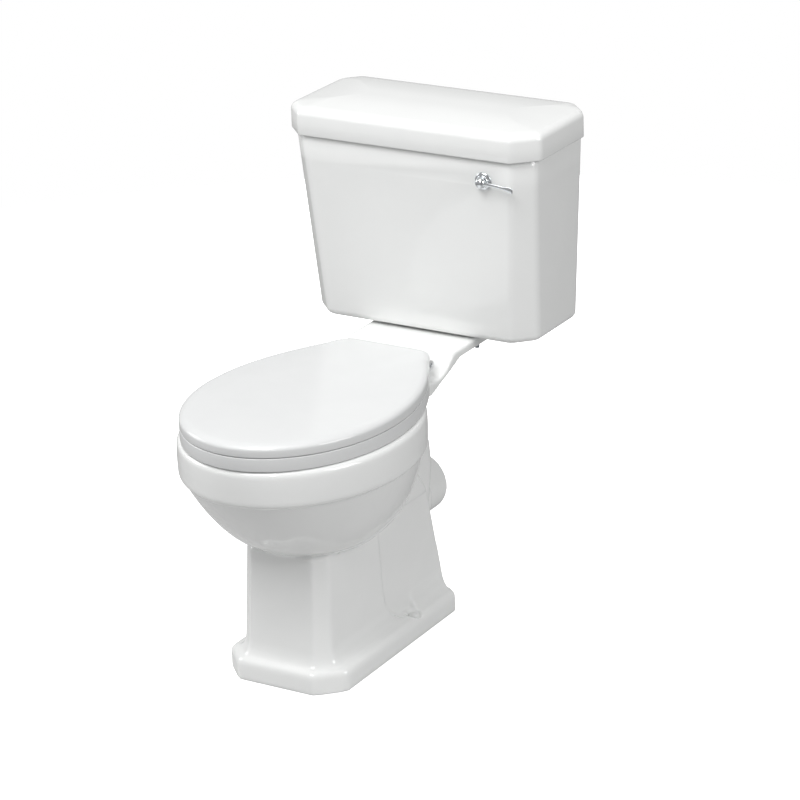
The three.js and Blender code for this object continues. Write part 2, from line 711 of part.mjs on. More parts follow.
// Out of the front face is -Y in the lever's own frame.
function turnedAlongLever(profile, sides = 24) {
  const points = profile.map(([radius, out]) => new THREE.Vector2(radius, -out));
  return new THREE.LatheGeometry(points.reverse(), sides);
}

// A stepped cover on the face, with a threaded neck that passes through the cistern's front.
function escutcheon() {
  return turnedAlongLever([
    [14.7, gap], [14.7, 2], [12.6, 4.6], [9.4, 5.4], [9.4, 6.4],
    [5.6, 6.4], [5.6, -19], [8, -19], [8, gap], [14.7, gap],
  ]);
}

function leverHandle() {
  const line = [[4, -12, 0], [20, -13.5, -1], [38, -14.5, -4], [53, -15, -7.5]];
  const path = new THREE.CatmullRomCurve3(line.map((p) => new THREE.Vector3(...p)));
  const section = new THREE.Shape();
  section.absellipse(0, 0, 2.4, 3.1, 0, 2 * Math.PI);
  const options = { steps: 8, extrudePath: path, curveSegments: 5, bevelEnabled: false };
  const arm = new THREE.ExtrudeGeometry(section, options);
  const paddle = new THREE.SphereGeometry(1, 14, 8).scale(9, 3.4, 5.2).rotateY(0.3).translate(51, -15, -7);
  const boss = turnedAlongLever([[0, 6.8], [8.6, 6.8], [9, 9], [8.4, 14], [5.6, 16.6], [0, 17.4]], 20);
  return join(boss, arm, paddle);
}

function leverSpindle() {
  return towardsWall(4.6, -6.4, flush.spindle + 6, 0, 0, 8).rotateY(Math.PI / 8);
}

function leverArm() {
  const length = flush.reach + 16;
  const beyondSpindle = 6;
  const blade = box(length, 3, 10, beyondSpindle - length / 2, flush.spindle, 0);
  const eye = towardsWall(9, flush.spindle - 3, flush.spindle + 3, 0, 0, 16);
  return cut(join(blade, eye), towardsWall(5, 0, 120, 0, 0, 8).rotateY(Math.PI / 8));
}

const wallInside = cistern.wall / Math.cos(lean);
place('lever_escutcheon', escutcheon(), 'chrome', leverGroup);
place('lever_handle', leverHandle(), 'chrome', leverGroup);
place('lever_spindle', leverSpindle(), 'brass', leverGroup);
place('lever_arm', leverArm(), 'zinc', leverGroup);
const leverWasher = ringProfile(8.4, 15, -wallInside - gap - 2, -wallInside - gap);
place('lever_washer', turnedAlongLever(leverWasher, 18), 'blackRubber', leverGroup);
const locknut = cut(
  towardsWall(14, wallInside + 2.7, wallInside + 7.5, 0, 0, 6),
  towardsWall(8.4, 0, 30, 0, 0, 18),
);
place('lever_locknut', locknut, 'zinc', leverGroup);

// ---------------------------------------------------------------- seat

// The round end of a lug that turns on the hinge pin.
const knuckle = (x) => acrossPin(8, x - 4.5, x + 4.5, fromWall(hinge.out), hinge.z, 16);
const pinBore = () => acrossPin(4.1, -110, 110, fromWall(hinge.out), hinge.z, 16);

function seatRingBody() {
  const { ringBottom, ringTop } = seat;
  const outer = loft([
    seatRing(0.985, ringBottom), seatRing(1, ringBottom + 3),
    seatRing(1, ringTop - 4), seatRing(0.985, ringTop),
  ]);
  const egg = { ...seatMouth, centre: seat.centre };
  const mouth = loft([
    eggRing(grow(egg, 3), ringBottom - 1), eggRing(egg, ringBottom + 6), eggRing(egg, ringTop - 7),
    eggRing(grow(egg, 3), ringTop - 2.5), eggRing(grow(egg, 9), ringTop + 1),
  ]);
  const behind = box(400, 100, 60, 0, fromWall(330) + 50, ringTop);
  const lug = (side) => join(
    box(9, 52, 11, side * (hinge.x + hinge.lug), fromWall(hinge.out) - 26, hinge.z - 2.5),
    knuckle(side * (hinge.x + hinge.lug)),
  );
  return cut(join(cut(outer, mouth, behind), lug(1), lug(-1)), pinBore());
}

function seatLidBody() {
  const { bottom, edge, crown } = seatLid;
  const skin = loft([
    seatRing(0.985, bottom), seatRing(1, bottom + 3), seatRing(1, edge), seatRing(0.99, edge + 3.4),
    seatRing(0.95, edge + 6), seatRing(0.8, edge + 8.6), seatRing(0.4, crown),
  ]);
  const hollow = loft([seatRing(0.8, bottom - 1), seatRing(0.77, bottom + 7)]);
  const frontHalf = box(400, 420, 60, 0, fromWall(345) - 210, bottom);
  const hingeBay = (side) => box(52, 62, 20, side * hinge.x, fromWall(290), hinge.z + 3);
  const lug = (side) => join(
    box(9, 16, 18, side * (hinge.x - hinge.lug), fromWall(hinge.out), hinge.z + 8),
    knuckle(side * (hinge.x - hinge.lug)),
  );
  const shell = cut(skin, overlap(hollow, frontHalf), hingeBay(1), hingeBay(-1));
  return cut(join(shell, lug(1), lug(-1)), pinBore());
}

function hingePost(side) {
  const [x, y] = [side * hinge.x, fromWall(hinge.out)];
  const z = deck.z + gap;
  const base = upright(15, z, z + 4.5, x, fromWall(hinge.boltOut), 20);
  const stem = join(box(14, 19, 16, x, y - 4, z + 8), acrossPin(6.6, x - 7, x + 7, y, hinge.z, 16));
  return cut(
    join(base, stem),
    acrossPin(hinge.pinRadius + gap, x - 10, x + 10, y, hinge.z, 14),
    upright(5, z - 1, z + 30, x, fromWall(hinge.boltOut), 14),
    upright(8.6, z + 4.5, z + 30, x, fromWall(hinge.boltOut), 16),
  );
}

function hingeBolt(side) {
  const [x, y] = [side * hinge.x, fromWall(hinge.boltOut)];
  const z = deck.z + 5.1;
  return join(upright(4, 370, z + 1, x, y, 12), upright(7.6, z, z + 4, x, y, 16));
}

place('seat_ring', seatRingBody(), 'seatPlastic');
place('seat_lid', seatLidBody(), 'seatPlastic');

for (const [side, word] of [[1, 'right'], [-1, 'left']]) {
  const [x, y] = [side * hinge.x, fromWall(hinge.boltOut)];
  const ends = hinge.ends.map((end) => side * end).sort((a, b) => a - b);
  place(`hinge_post_${word}`, hingePost(side), 'chrome');
  const pin = acrossPin(hinge.pinRadius, ...ends, fromWall(hinge.out), hinge.z, 14);
  place(`hinge_pin_${word}`, pin, 'chrome');
  place(`hinge_bolt_${word}`, hingeBolt(side), 'zinc');
  place(`hinge_washer_${word}`, turned(ringProfile(4.5, 12, 391, 394 - gap), x, y, 16), 'blackRubber');
  place(`hinge_wing_nut_${word}`, wingNut(x, hinge.boltOut, 390.7, 4.5), 'whitePlastic');
}

// ---------------------------------------------------------------- seat buffers

const bufferPad = { long: 17, short: 6.5, sides: 16, soft: 0.8 };

// Small oval pads on the underside of the ring and of the lid.
function buffer(x, y, z0, z1, turn) {
  const upwards = new THREE.Vector3(0, 0, 1);
  const level = (t, z) => {
    const ring = [];
    for (let i = 0; i < bufferPad.sides; i += 1) {
      const a = (i / bufferPad.sides) * 2 * Math.PI;
      const p = new THREE.Vector3((bufferPad.long - t) * Math.cos(a), (bufferPad.short - t) * Math.sin(a), 0);
      ring.push(p.applyAxisAngle(upwards, turn).add(new THREE.Vector3(x, y, z)));
    }
    return ring;
  };
  return loft([level(1, z0), level(0, z0 + bufferPad.soft), level(0, z1)]);
}

const bufferSpots = [
  ['front_right', 92, 664], ['front_left', -92, 664], ['rear_right', 131, 428], ['rear_left', -131, 428],
];
for (const [word, x, out] of bufferSpots) {
  const y = fromWall(out);
  const turn = Math.atan2(y - fromWall(seat.centre), x) + Math.PI / 2;
  const underRing = buffer(x, y, rim.top + gap, seat.ringBottom - gap, turn);
  const underLid = buffer(x, y, seat.ringTop + gap, seatLid.bottom - gap, turn);
  place(`ring_buffer_${word}`, underRing, 'clearRubber');
  place(`lid_buffer_${word}`, underLid, 'clearRubber');
}

export default toilet;
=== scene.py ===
import json
import math

import bmesh
import bpy
from mathutils import Matrix, Vector


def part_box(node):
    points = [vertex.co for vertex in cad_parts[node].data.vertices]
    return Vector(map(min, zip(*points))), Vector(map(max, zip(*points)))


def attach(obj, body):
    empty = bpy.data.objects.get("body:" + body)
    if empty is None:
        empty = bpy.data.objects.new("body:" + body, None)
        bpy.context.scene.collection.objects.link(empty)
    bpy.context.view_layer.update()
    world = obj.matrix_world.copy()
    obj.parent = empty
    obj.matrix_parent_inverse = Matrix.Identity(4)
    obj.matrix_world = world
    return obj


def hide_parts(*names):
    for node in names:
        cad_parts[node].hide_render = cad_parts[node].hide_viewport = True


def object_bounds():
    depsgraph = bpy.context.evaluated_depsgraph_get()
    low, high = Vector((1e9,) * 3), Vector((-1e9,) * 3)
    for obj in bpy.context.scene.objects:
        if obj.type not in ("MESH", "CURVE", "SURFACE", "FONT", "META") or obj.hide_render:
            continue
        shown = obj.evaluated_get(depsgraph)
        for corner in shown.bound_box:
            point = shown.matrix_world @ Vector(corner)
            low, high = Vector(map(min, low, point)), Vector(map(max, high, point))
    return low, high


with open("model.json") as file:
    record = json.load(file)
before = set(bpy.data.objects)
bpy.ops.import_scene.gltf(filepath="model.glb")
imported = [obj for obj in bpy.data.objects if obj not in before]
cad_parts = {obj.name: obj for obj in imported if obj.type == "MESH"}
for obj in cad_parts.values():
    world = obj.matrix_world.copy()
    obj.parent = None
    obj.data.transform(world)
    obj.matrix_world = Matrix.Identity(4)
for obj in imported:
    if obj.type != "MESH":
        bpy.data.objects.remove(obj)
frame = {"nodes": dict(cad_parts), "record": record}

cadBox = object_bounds()
print("toilet: frame loaded")

# Sizes below are millimetres. Metres come out of point(), which counts y out from the wall.
mm = 0.001
wallY = cadBox[1].y


def point(x, out, z):
    return Vector((x * mm, wallY - out * mm, z * mm))


# ---- camera, floor and light

cameraSetup = {
    "azimuth": 31.54,
    "elevation": 21.07,
    "roll": -2.22,
    "lens": 156.3,
    "target": (0, 339, 412),
    "aside": -0.0518,
    "above": 0.0377,
    "distance": 5.4658,
}


def setCamera(setup):
    azimuth, elevation, roll = (math.radians(setup[k]) for k in ("azimuth", "elevation", "roll"))
    back = Vector((math.sin(azimuth) * math.cos(elevation), -math.cos(azimuth) * math.cos(elevation),
                   math.sin(elevation)))
    level = (-back).cross(Vector((0, 0, 1))).normalized()
    rise = back.cross(level)
    right = level * math.cos(roll) + rise * math.sin(roll)
    up = rise * math.cos(roll) - level * math.sin(roll)
    data = bpy.data.cameras.new("studioCamera")
    data.lens = setup["lens"]
    camera = bpy.data.objects.new("studioCamera", data)
    place = point(*setup["target"]) - right * setup["aside"] - up * setup["above"] + back * setup["distance"]
    camera.matrix_world = Matrix.Translation(place) @ Matrix((right, up, back)).transposed().to_4x4()
    bpy.context.scene.collection.objects.link(camera)
    bpy.context.scene.camera = camera


setCamera(cameraSetup)


def linearColor(hexText):
    channels = [int(hexText[i:i + 2], 16) / 255 for i in (0, 2, 4)]
    return [c / 12.92 if c <= 0.04045 else ((c + 0.055) / 1.055) ** 2.4 for c in channels] + [1.0]


def addNode(tree, kind, settings=None, links=None):
    node = tree.nodes.new(kind)
    for name, value in (settings or {}).items():
        if hasattr(node, name):
            setattr(node, name, value)
        else:
            node.inputs[name].default_value = value
    for name, socket in (links or {}).items():
        tree.links.new(socket, node.inputs[name])
    return node


floorSetup = {"radius": 2.4, "fadeFrom": 0.25, "fadeTo": 1.5, "glowShare": 0.55, "color": "FBFBFB",
    "glow": 0.28, "seen": 1.9}


def makeFloor(setup):
    mesh = bpy.data.meshes.new("studioFloor")
    shape = bmesh.new()
    bmesh.ops.create_circle(shape, cap_ends=True, segments=96, radius=setup["radius"])
    shape.to_mesh(mesh)
    floor = bpy.data.objects.new("studioFloor", mesh)
    bpy.context.scene.collection.objects.link(floor)
    material = bpy.data.materials.new("paperSweep")
    material.use_nodes = True
    tree = material.node_tree
    tree.nodes["Principled BSDF"].inputs["Base Color"].default_value = linearColor(setup["color"])
    tree.nodes["Principled BSDF"].inputs["Roughness"].default_value = 0.9
    tree.nodes["Principled BSDF"].inputs["Specular IOR Level"].default_value = 0.1
    where = addNode(tree, "ShaderNodeTexCoord").outputs["Object"]
    reach = addNode(tree, "ShaderNodeVectorMath", {"operation": "LENGTH"}, {0: where})
    fade = addNode(tree, "ShaderNodeMapRange", {
        "From Min": setup["fadeFrom"], "From Max": setup["fadeTo"], "To Min": setup["glowShare"],
    }, {"Value": reach.outputs["Value"]})
    seen = addNode(tree, "ShaderNodeLightPath").outputs["Is Camera Ray"]
    strength = addNode(tree, "ShaderNodeMix",
        {"data_type": "FLOAT", "A": setup["glow"], "B": setup["seen"]}, {"Factor": seen})
    glow = addNode(tree, "ShaderNodeEmission", {}, {"Strength": strength.outputs[0]})
    mix = addNode(tree, "ShaderNodeMixShader", {}, {
        0: fade.outputs[0], 1: tree.nodes["Principled BSDF"].outputs[0], 2: glow.outputs[0],
    })
    tree.links.new(mix.outputs[0], tree.nodes["Material Output"].inputs["Surface"])
    mesh.materials.append(material)


lightSetup = {
    "world": {"left": 0.44, "right": 0.24, "top": 0.34, "seen": 1.0},
    "panels": [
        # name, place, size, power
        ("overheadBox", (-0.3, -0.9, 3.4), (2.4, 2.4), 42),
        ("highBox", (0.0, -2.4, 3.8), (2.0, 1.6), 56),
        ("leftBox", (-3.2, -0.6, 1.8), (1.6, 1.6), 28),
        ("rightBox", (3.0, -0.2, 1.9), (1.4, 1.4), 33),
        ("rimBox", (1.3, -3.2, 3.2), (0.32, 0.5), 14),
    ],
}


def makeLight(setup):
    world = bpy.data.worlds.new("studioWorld")
    world.use_nodes = True
    tree = world.node_tree
    shades = setup["world"]
    where = addNode(tree, "ShaderNodeTexCoord").outputs["Generated"]
    axes = addNode(tree, "ShaderNodeSeparateXYZ", {}, {0: where})
    across = addNode(tree, "ShaderNodeMapRange", {
        "From Min": -0.1, "From Max": 0.55, "To Min": shades["left"], "To Max": shades["right"],
    }, {"Value": axes.outputs["X"]})
    rise = addNode(tree, "ShaderNodeMapRange", {"From Min": 0.25, "From Max": 0.85},
        {"Value": axes.outputs["Z"]})
    sky = addNode(tree, "ShaderNodeMix", {"data_type": "FLOAT", "B": shades["top"]},
                  {"Factor": rise.outputs[0], "A": across.outputs[0]})
    seen = addNode(tree, "ShaderNodeLightPath").outputs["Is Camera Ray"]
    strength = addNode(tree, "ShaderNodeMix", {"data_type": "FLOAT", "B": shades["seen"]},
                       {"Factor": seen, "A": sky.outputs[0]})
    tree.links.new(strength.outputs[0], tree.nodes["Background"].inputs["Strength"])
    tree.nodes["Background"].inputs["Color"].default_value = linearColor("FFFFFF")
    bpy.context.scene.world = world
    aim = Vector((0, 0, 0.42))
    for name, place, size, power in setup["panels"]:
        data = bpy.data.lights.new(name, "AREA")
        data.shape = "RECTANGLE"
        data.size, data.size_y = size
        data.energy = power
        lamp = bpy.data.objects.new(name, data)
        lamp.location = place
        lamp.rotation_euler = (aim - Vector(place)).to_track_quat("-Z", "Y").to_euler()
        bpy.context.scene.collection.objects.link(lamp)


makeFloor(floorSetup)
makeLight(lightSetup)
bpy.context.scene.view_settings.view_transform = "Standard"


# ---- finishes

def startMaterial(name, color, roughness, metallic=0.0):
    material = bpy.data.materials.new(name)
    material.use_nodes = True
    tree = material.node_tree
    shader = tree.nodes["Principled BSDF"]
    shader.inputs["Base Color"].default_value = linearColor(color)
    shader.inputs["Roughness"].default_value = roughness
    shader.inputs["Metallic"].default_value = metallic
    where = addNode(tree, "ShaderNodeTexCoord").outputs["Object"]
    return material, tree, shader, where


def noise(tree, where, spacing, detail=2.0):
    # spacing is the real size of one blotch, in millimetres
    return addNode(tree, "ShaderNodeTexNoise", {"Scale": 1 / (spacing * mm), "Detail": detail},
                   {"Vector": where}).outputs["Fac"]


def varyColor(tree, shader, factor, dark, light):
    mix = addNode(tree, "ShaderNodeMix", {"data_type": "RGBA"}, {"Factor": factor})
    mix.inputs[6].default_value = linearColor(dark)
    mix.inputs[7].default_value = linearColor(light)
    tree.links.new(mix.outputs[2], shader.inputs["Base Color"])
    return mix.outputs[2]


def varyRoughness(tree, shader, factor, low, high):
    span = addNode(tree, "ShaderNodeMapRange", {"To Min": low, "To Max": high}, {"Value": factor})
    tree.links.new(span.outputs[0], shader.inputs["Roughness"])


def addBumps(tree, shader, layers):
    # layers of (height, depth in millimetres), each laid over the one before
    normal = None
    for height, depth in layers:
        bump = addNode(tree, "ShaderNodeBump", {"Strength": 1.0, "Distance": depth * mm}, {"Height": height})
        if normal:
            tree.links.new(normal, bump.inputs["Normal"])
        normal = bump.outputs[0]
    tree.links.new(normal, shader.inputs["Normal"])


# Slip cast vitreous china under a clear tin white glaze: deep gloss that swims a little, as fired glaze does.
def glazedChina():
    material, tree, shader, where = startMaterial("glazedChina", "F4F5F4", 0.07)
    shader.inputs["IOR"].default_value = 1.54
    shader.inputs["Coat Weight"].default_value = 0.35
    shader.inputs["Coat Roughness"].default_value = 0.03
    varyColor(tree, shader, noise(tree, where, 90, 3), "F1F2F1", "F6F7F6")
    varyRoughness(tree, shader, noise(tree, where, 45), 0.055, 0.1)
    addBumps(tree, shader, [(noise(tree, where, 140, 1), 0.5), (noise(tree, where, 5, 1), 0.008)])
    return material


# Urea seat moulding, polished in the tool: gloss like lacquer with the faintest orange peel.
def pressedUrea():
    material, tree, shader, where = startMaterial("pressedUrea", "DFE0E0", 0.14)
    shader.inputs["IOR"].default_value = 1.5
    varyColor(tree, shader, noise(tree, where, 60), "DDDEDE", "E0E1E1")
    varyRoughness(tree, shader, noise(tree, where, 30), 0.12, 0.2)
    addBumps(tree, shader, [(noise(tree, where, 110, 1), 0.25), (noise(tree, where, 2.5, 1), 0.006)])
    return material


# Bright chrome over nickel: a mirror, with thin breath marks that only show at grazing light.
def brightChrome():
    material, tree, shader, where = startMaterial("brightChrome", "DCDFE2", 0.05, 1.0)
    varyRoughness(tree, shader, noise(tree, where, 9, 3), 0.09, 0.14)
    addBumps(tree, shader, [(noise(tree, where, 22, 1), 0.003)])
    return material


# Zinc plated steel: cool grey and satin, with the faint cloudy bloom of the plating bath.
def platedZinc():
    material, tree, shader, where = startMaterial("platedZinc", "A9AEB3", 0.34, 1.0)
    varyColor(tree, shader, noise(tree, where, 6, 4), "9BA1A7", "BCC1C5")
    varyRoughness(tree, shader, noise(tree, where, 3, 3), 0.26, 0.46)
    addBumps(tree, shader, [(noise(tree, where, 0.8, 2), 0.02)])
    return material


# Turned brass: warm satin with a slight brown tarnish in places.
def turnedBrass():
    material, tree, shader, where = startMaterial("turnedBrass", "C39A52", 0.28, 1.0)
    varyColor(tree, shader, noise(tree, where, 8, 4), "A57F3E", "CDA45C")
    varyRoughness(tree, shader, noise(tree, where, 4, 3), 0.2, 0.4)
    addBumps(tree, shader, [(noise(tree, where, 0.6, 2), 0.015)])
    return material


def mouldedPlastic(name, dark, light, roughness):
    material, tree, shader, where = startMaterial(name, light, roughness)
    varyColor(tree, shader, noise(tree, where, 25, 3), dark, light)
    varyRoughness(tree, shader, noise(tree, where, 6, 2), roughness - 0.06, roughness + 0.06)
    addBumps(tree, shader, [(noise(tree, where, 30, 1), 0.12), (noise(tree, where, 0.7, 1), 0.01)])
    return material


# EPDM washers: soft black with a dry, slightly dusty grain.
def blackEpdm():
    material, tree, shader, where = startMaterial("blackEpdm", "1E1E20", 0.8)
    varyColor(tree, shader, noise(tree, where, 4, 4), "18181A", "2A2A2C")
    addBumps(tree, shader, [(noise(tree, where, 0.5, 3), 0.05)])
    return material


# Clear PVC pads: milky and waxy, so the white under them shows through.
def milkyPvc():
    material, tree, shader, where = startMaterial("milkyPvc", "E2E4E1", 0.36)
    shader.inputs["Subsurface Weight"].default_value = 0.25
    shader.inputs["Subsurface Radius"].default_value = (0.004, 0.004, 0.004)
    varyColor(tree, shader, noise(tree, where, 5, 2), "DADCD9", "E6E8E5")
    addBumps(tree, shader, [(noise(tree, where, 0.8, 1), 0.02)])
    return material


# Glass filled polypropylene keeps a soft sheen, and the blue of the float is dyed right through.
finishes = {
    "china": glazedChina(),
    "seat": pressedUrea(),
    "chrome": brightChrome(),
    "zinc": platedZinc(),
    "brass": turnedBrass(),
    "white_plastic": mouldedPlastic("whitePolypropylene", "E3E4E3", "EBECEB", 0.42),
    "blue_plastic": mouldedPlastic("bluePolypropylene", "2E5F9A", "3C6FAB", 0.45),
    "black_rubber": blackEpdm(),
    "clear_rubber": milkyPvc(),
}
slotOf = {row["node"]: row["material_slot"] for row in frame["record"]["subparts"]}
bodyOf = {node: body for body, members in frame["record"]["behaviour"]["bodies"].items() for node in members}

for nodeName, cadPiece in frame["nodes"].items():
    cadPiece.data.materials.clear()
    cadPiece.data.materials.append(finishes[slotOf[nodeName]])
print("toilet: finishes made")


# ---- mesh tools

def objectOf(name, points, faces):
    mesh = bpy.data.meshes.new(name)
    mesh.from_pydata([tuple(p) for p in points], [], faces)
    mesh.validate()
    piece = bpy.data.objects.new(name, mesh)
    bpy.context.scene.collection.objects.link(piece)
    return piece


# A closed skin over rings of the same count, each anticlockwise seen from the last ring's end.
def loft(name, rings):
    count = len(rings[0])
    faces = [list(reversed(range(count)))]
    for level in range(len(rings) - 1):
        base = level * count
        for i in range(count):
            after = (i + 1) % count
            faces.append([base + i, base + after, base + count + after, base + count + i])
    last = (len(rings) - 1) * count
    faces.append([last + i for i in range(count)])
    return objectOf(name, [p for ring in rings for p in ring], faces)


# Corners of a flat outline turned into soft curves.
def softened(corners, radius, steps=6):
    points = []
    for i, corner in enumerate(corners):
        before = corners[i - 1] - corner
        after = corners[(i + 1) % len(corners)] - corner
        turn = math.pi - before.angle(after, math.pi)
        reach = min(radius * math.tan(turn / 2), 0.48 * before.length, 0.48 * after.length)
        start = corner + before.normalized() * reach
        end = corner + after.normalized() * reach
        for k in range(steps + 1):
            t = k / steps
            points.append(start * (1 - t) ** 2 + corner * 2 * t * (1 - t) + end * t * t)
    return points


def blendPlan(first, second, share):
    return {key: value + (second.get(key, value) - value) * share for key, value in first.items()}


def insetPlan(plan, step):
    cornerStep = step * (2 - math.sqrt(2))
    return {
        "half": plan["half"] - step,
        "front": plan["front"] - step,
        "back": plan["back"] + step,
        "chamfer": max(2, plan["chamfer"] - cornerStep),
        "backChamfer": max(1, plan["backChamfer"] - cornerStep),
    }


# A level ring with its corners cut off and softened.
def cutCornerRing(plan, z, radius, steps=6):
    half, chamfer, backChamfer = plan["half"], plan["chamfer"], plan["backChamfer"]
    front, back = plan["front"], plan["back"]
    corners = [
        (half, front - chamfer), (half, back + backChamfer), (half - backChamfer, back),
        (backChamfer - half, back), (-half, back + backChamfer), (-half, front - chamfer),
        (chamfer - half, front), (half - chamfer, front),
    ]
    return softened([point(x, out, z) for x, out in corners], radius * mm, steps)


# An egg: half an ellipse to the front and another to the rear of its widest line.
def eggRing(egg, z, steps=128):
    ring = []
    for i in range(steps):
        angle = 2 * math.pi * i / steps
        reach = egg["front"] if math.sin(angle) < 0 else egg["rear"]
        ring.append(point(egg["half"] * math.cos(angle), egg["centre"] - reach * math.sin(angle), z))
    return ring


def grownEgg(egg, step):
    return {**egg, "half": egg["half"] + step, "front": egg["front"] + step, "rear": egg["rear"] + step}


# Values eased through a list of (height, plan) by a Catmull-Rom curve.
def throughLevels(levels, steps):
    made = []
    for i in range(len(levels) - 1):
        around = [levels[max(0, i - 1)], levels[i], levels[i + 1], levels[min(len(levels) - 1, i + 2)]]
        for k in range(steps):
            t = k / steps

            def eased(read):
                a, b, c, d = (read(level) for level in around)
                return 0.5 * (2 * b + (c - a) * t + (2 * a - 5 * b + 4 * c - d) * t * t
                              + (3 * b - a - 3 * c + d) * t ** 3)

            plan = {key: eased(lambda level, key=key: level[1][key]) for key in levels[0][1]}
            made.append((eased(lambda level: level[0]), plan))
    return made + [levels[-1]]


# A side view drawn as (distance from the wall, height), reaching from x0 to x1 with rounded rims.
def slab(name, outline, x0, x1, radius=0, rim=0, steps=5):
    flat = [Vector((0, wallY - out * mm, z * mm)) for out, z in outline]
    if sum(a.y * b.z - b.y * a.z for a, b in zip(flat, flat[1:] + flat[:1])) < 0:
        flat.reverse()
    ring = softened(flat, radius * mm) if radius else flat
    count = len(ring)
    inward = []
    for i in range(count):
        along = (ring[(i + 1) % count] - ring[i - 1]).normalized()
        inward.append(Vector((0, -along.z, along.y)))
    stations = [(x0 + rim - rim * math.cos(a), rim - rim * math.sin(a))
                for a in (math.pi / 2 * k / steps for k in range(steps + 1))] if rim else [(x0, 0)]
    stations += [(x1 - (x - x0), inset) for x, inset in reversed(stations)]
    return loft(name, [[p + n * inset * mm + Vector((x * mm, 0, 0)) for p, n in zip(ring, inward)]
                       for x, inset in stations])


# A round tube through (distance from the wall, height) points in the plane of symmetry.
def passage(name, route, radius, sides=40, steps=10):
    line = [level[1] for level in throughLevels([(0, {"out": out, "z": z}) for out, z in route], steps)]
    line = [point(0, p["out"], p["z"]) for p in line]
    rings = []
    for i, place in enumerate(line):
        along = (line[min(i + 1, len(line) - 1)] - line[max(i - 1, 0)]).normalized()
        side = along.cross(Vector((1, 0, 0)))
        rings.append([place + (side * math.cos(a) + Vector((1, 0, 0)) * math.sin(a)) * radius * mm
                      for a in (2 * math.pi * k / sides for k in range(sides))])
    piece = loft(name, rings)
    faceOutwards(piece)
    return piece


# A profile of (radius, height) pairs turned about an axis. A profile off the axis closes on itself.
def lathe(name, profile, place=None, sides=64, radius=0, toFrame=None):
    toFrame = toFrame or Matrix.Translation(place)
    flat = [Vector((r * mm, 0, h * mm)) for r, h in profile]
    onAxis = [p.x < 1e-7 for p in flat]
    if radius:
        closed = not any(onAxis)
        eased = []
        for i, corner in enumerate(flat):
            if not closed and i in (0, len(flat) - 1):
                eased.append(corner)
                continue
            before, after = flat[i - 1] - corner, flat[(i + 1) % len(flat)] - corner
            reach = min(radius * mm, 0.45 * before.length, 0.45 * after.length)
            start, end = corner + before.normalized() * reach, corner + after.normalized() * reach
            eased += [start * (1 - t) ** 2 + corner * 2 * t * (1 - t) + end * t * t
                for t in (0, 0.25, 0.5, 0.75, 1)]
        flat = eased
    onAxis = [p.x < 1e-7 for p in flat]
    points, index = [], []
    for p, axial in zip(flat, onAxis):
        index.append(list(range(len(points), len(points) + (1 if axial else sides))))
        turns = [0] if axial else [2 * math.pi * k / sides for k in range(sides)]
        points += [toFrame @ Vector((p.x * math.cos(a), p.x * math.sin(a), p.z)) for a in turns]
    faces = []
    loops = len(index) - (1 if any(onAxis) else 0)
    for i in range(loops):
        low, high = index[i], index[(i + 1) % len(index)]
        for k in range(sides):
            after = (k + 1) % sides
            corner = [low[k % len(low)], low[after % len(low)], high[after % len(high)], high[k % len(high)]]
            face = [v for n, v in enumerate(corner) if v != corner[n - 1]]
            if len(face) > 2:
                faces.append(face)
    piece = objectOf(name, points, faces)
    faceOutwards(piece)
    return piece


def rod(name, radius, start, end, sides=48):
    along = (end - start)
    turn = along.to_track_quat("Z", "Y").to_matrix().to_4x4()
    length = along.length / mm
    return lathe(name, [(0, 0), (radius, 0), (radius, length), (0, length)],
                 toFrame=Matrix.Translation(start) @ turn, sides=sides)


def block(name, low, high):
    corners = [(low[0], low[1]), (high[0], low[1]), (high[0], high[1]), (low[0], high[1])]
    rings = [[Vector((x, y, z)) for x, y in corners] for z in (low[2], high[2])]
    return loft(name, rings)


def faceOutwards(piece):
    shape = bmesh.new()
    shape.from_mesh(piece.data)
    bmesh.ops.remove_doubles(shape, verts=shape.verts, dist=1e-6)
    bmesh.ops.recalc_face_normals(shape, faces=shape.faces)
    shape.to_mesh(piece.data)
    shape.free()


def settled(piece):
    # the evaluated shape becomes the piece's own mesh, and its modifiers go
    graph = bpy.context.evaluated_depsgraph_get()
    mesh = bpy.data.meshes.new_from_object(piece.evaluated_get(graph))
    old = piece.data
    piece.modifiers.clear()
    piece.data = mesh
    bpy.data.meshes.remove(old)
    return piece


def carved(piece, tools, operation="DIFFERENCE"):
    for tool in tools:
        step = piece.modifiers.new("step", "BOOLEAN")
        step.operation = operation
        step.solver = "MANIFOLD"
        step.object = tool
    settled(piece)
    for tool in tools:
        bpy.data.objects.remove(tool)
    return piece


def fused(piece, others):
    return carved(piece, others, "UNION")


def rounded(piece, width, angle=40, segments=3):
    bevel = piece.modifiers.new("bevel", "BEVEL")
    bevel.width = width * mm
    bevel.segments = segments
    bevel.limit_method = "ANGLE"
    bevel.angle_limit = math.radians(angle)
    bevel.harden_normals = False
    return settled(piece)


def finished(piece, name, node=None, body=None, slot=None, sharp=None):
    piece.name = name
    piece.data.name = name
    slot = slot or slotOf[node]
    piece.data.materials.clear()
    piece.data.materials.append(finishes[slot])
    for face in piece.data.polygons:
        face.use_smooth = True
        face.material_index = 0
    if sharp:
        piece.data.set_sharp_from_angle(angle=math.radians(sharp))
    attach(piece, body or bodyOf[node])
    if node:
        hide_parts(node)
    return piece


# ---- what repeats: rinse holes, threads and grip ribs, each from its own node tree

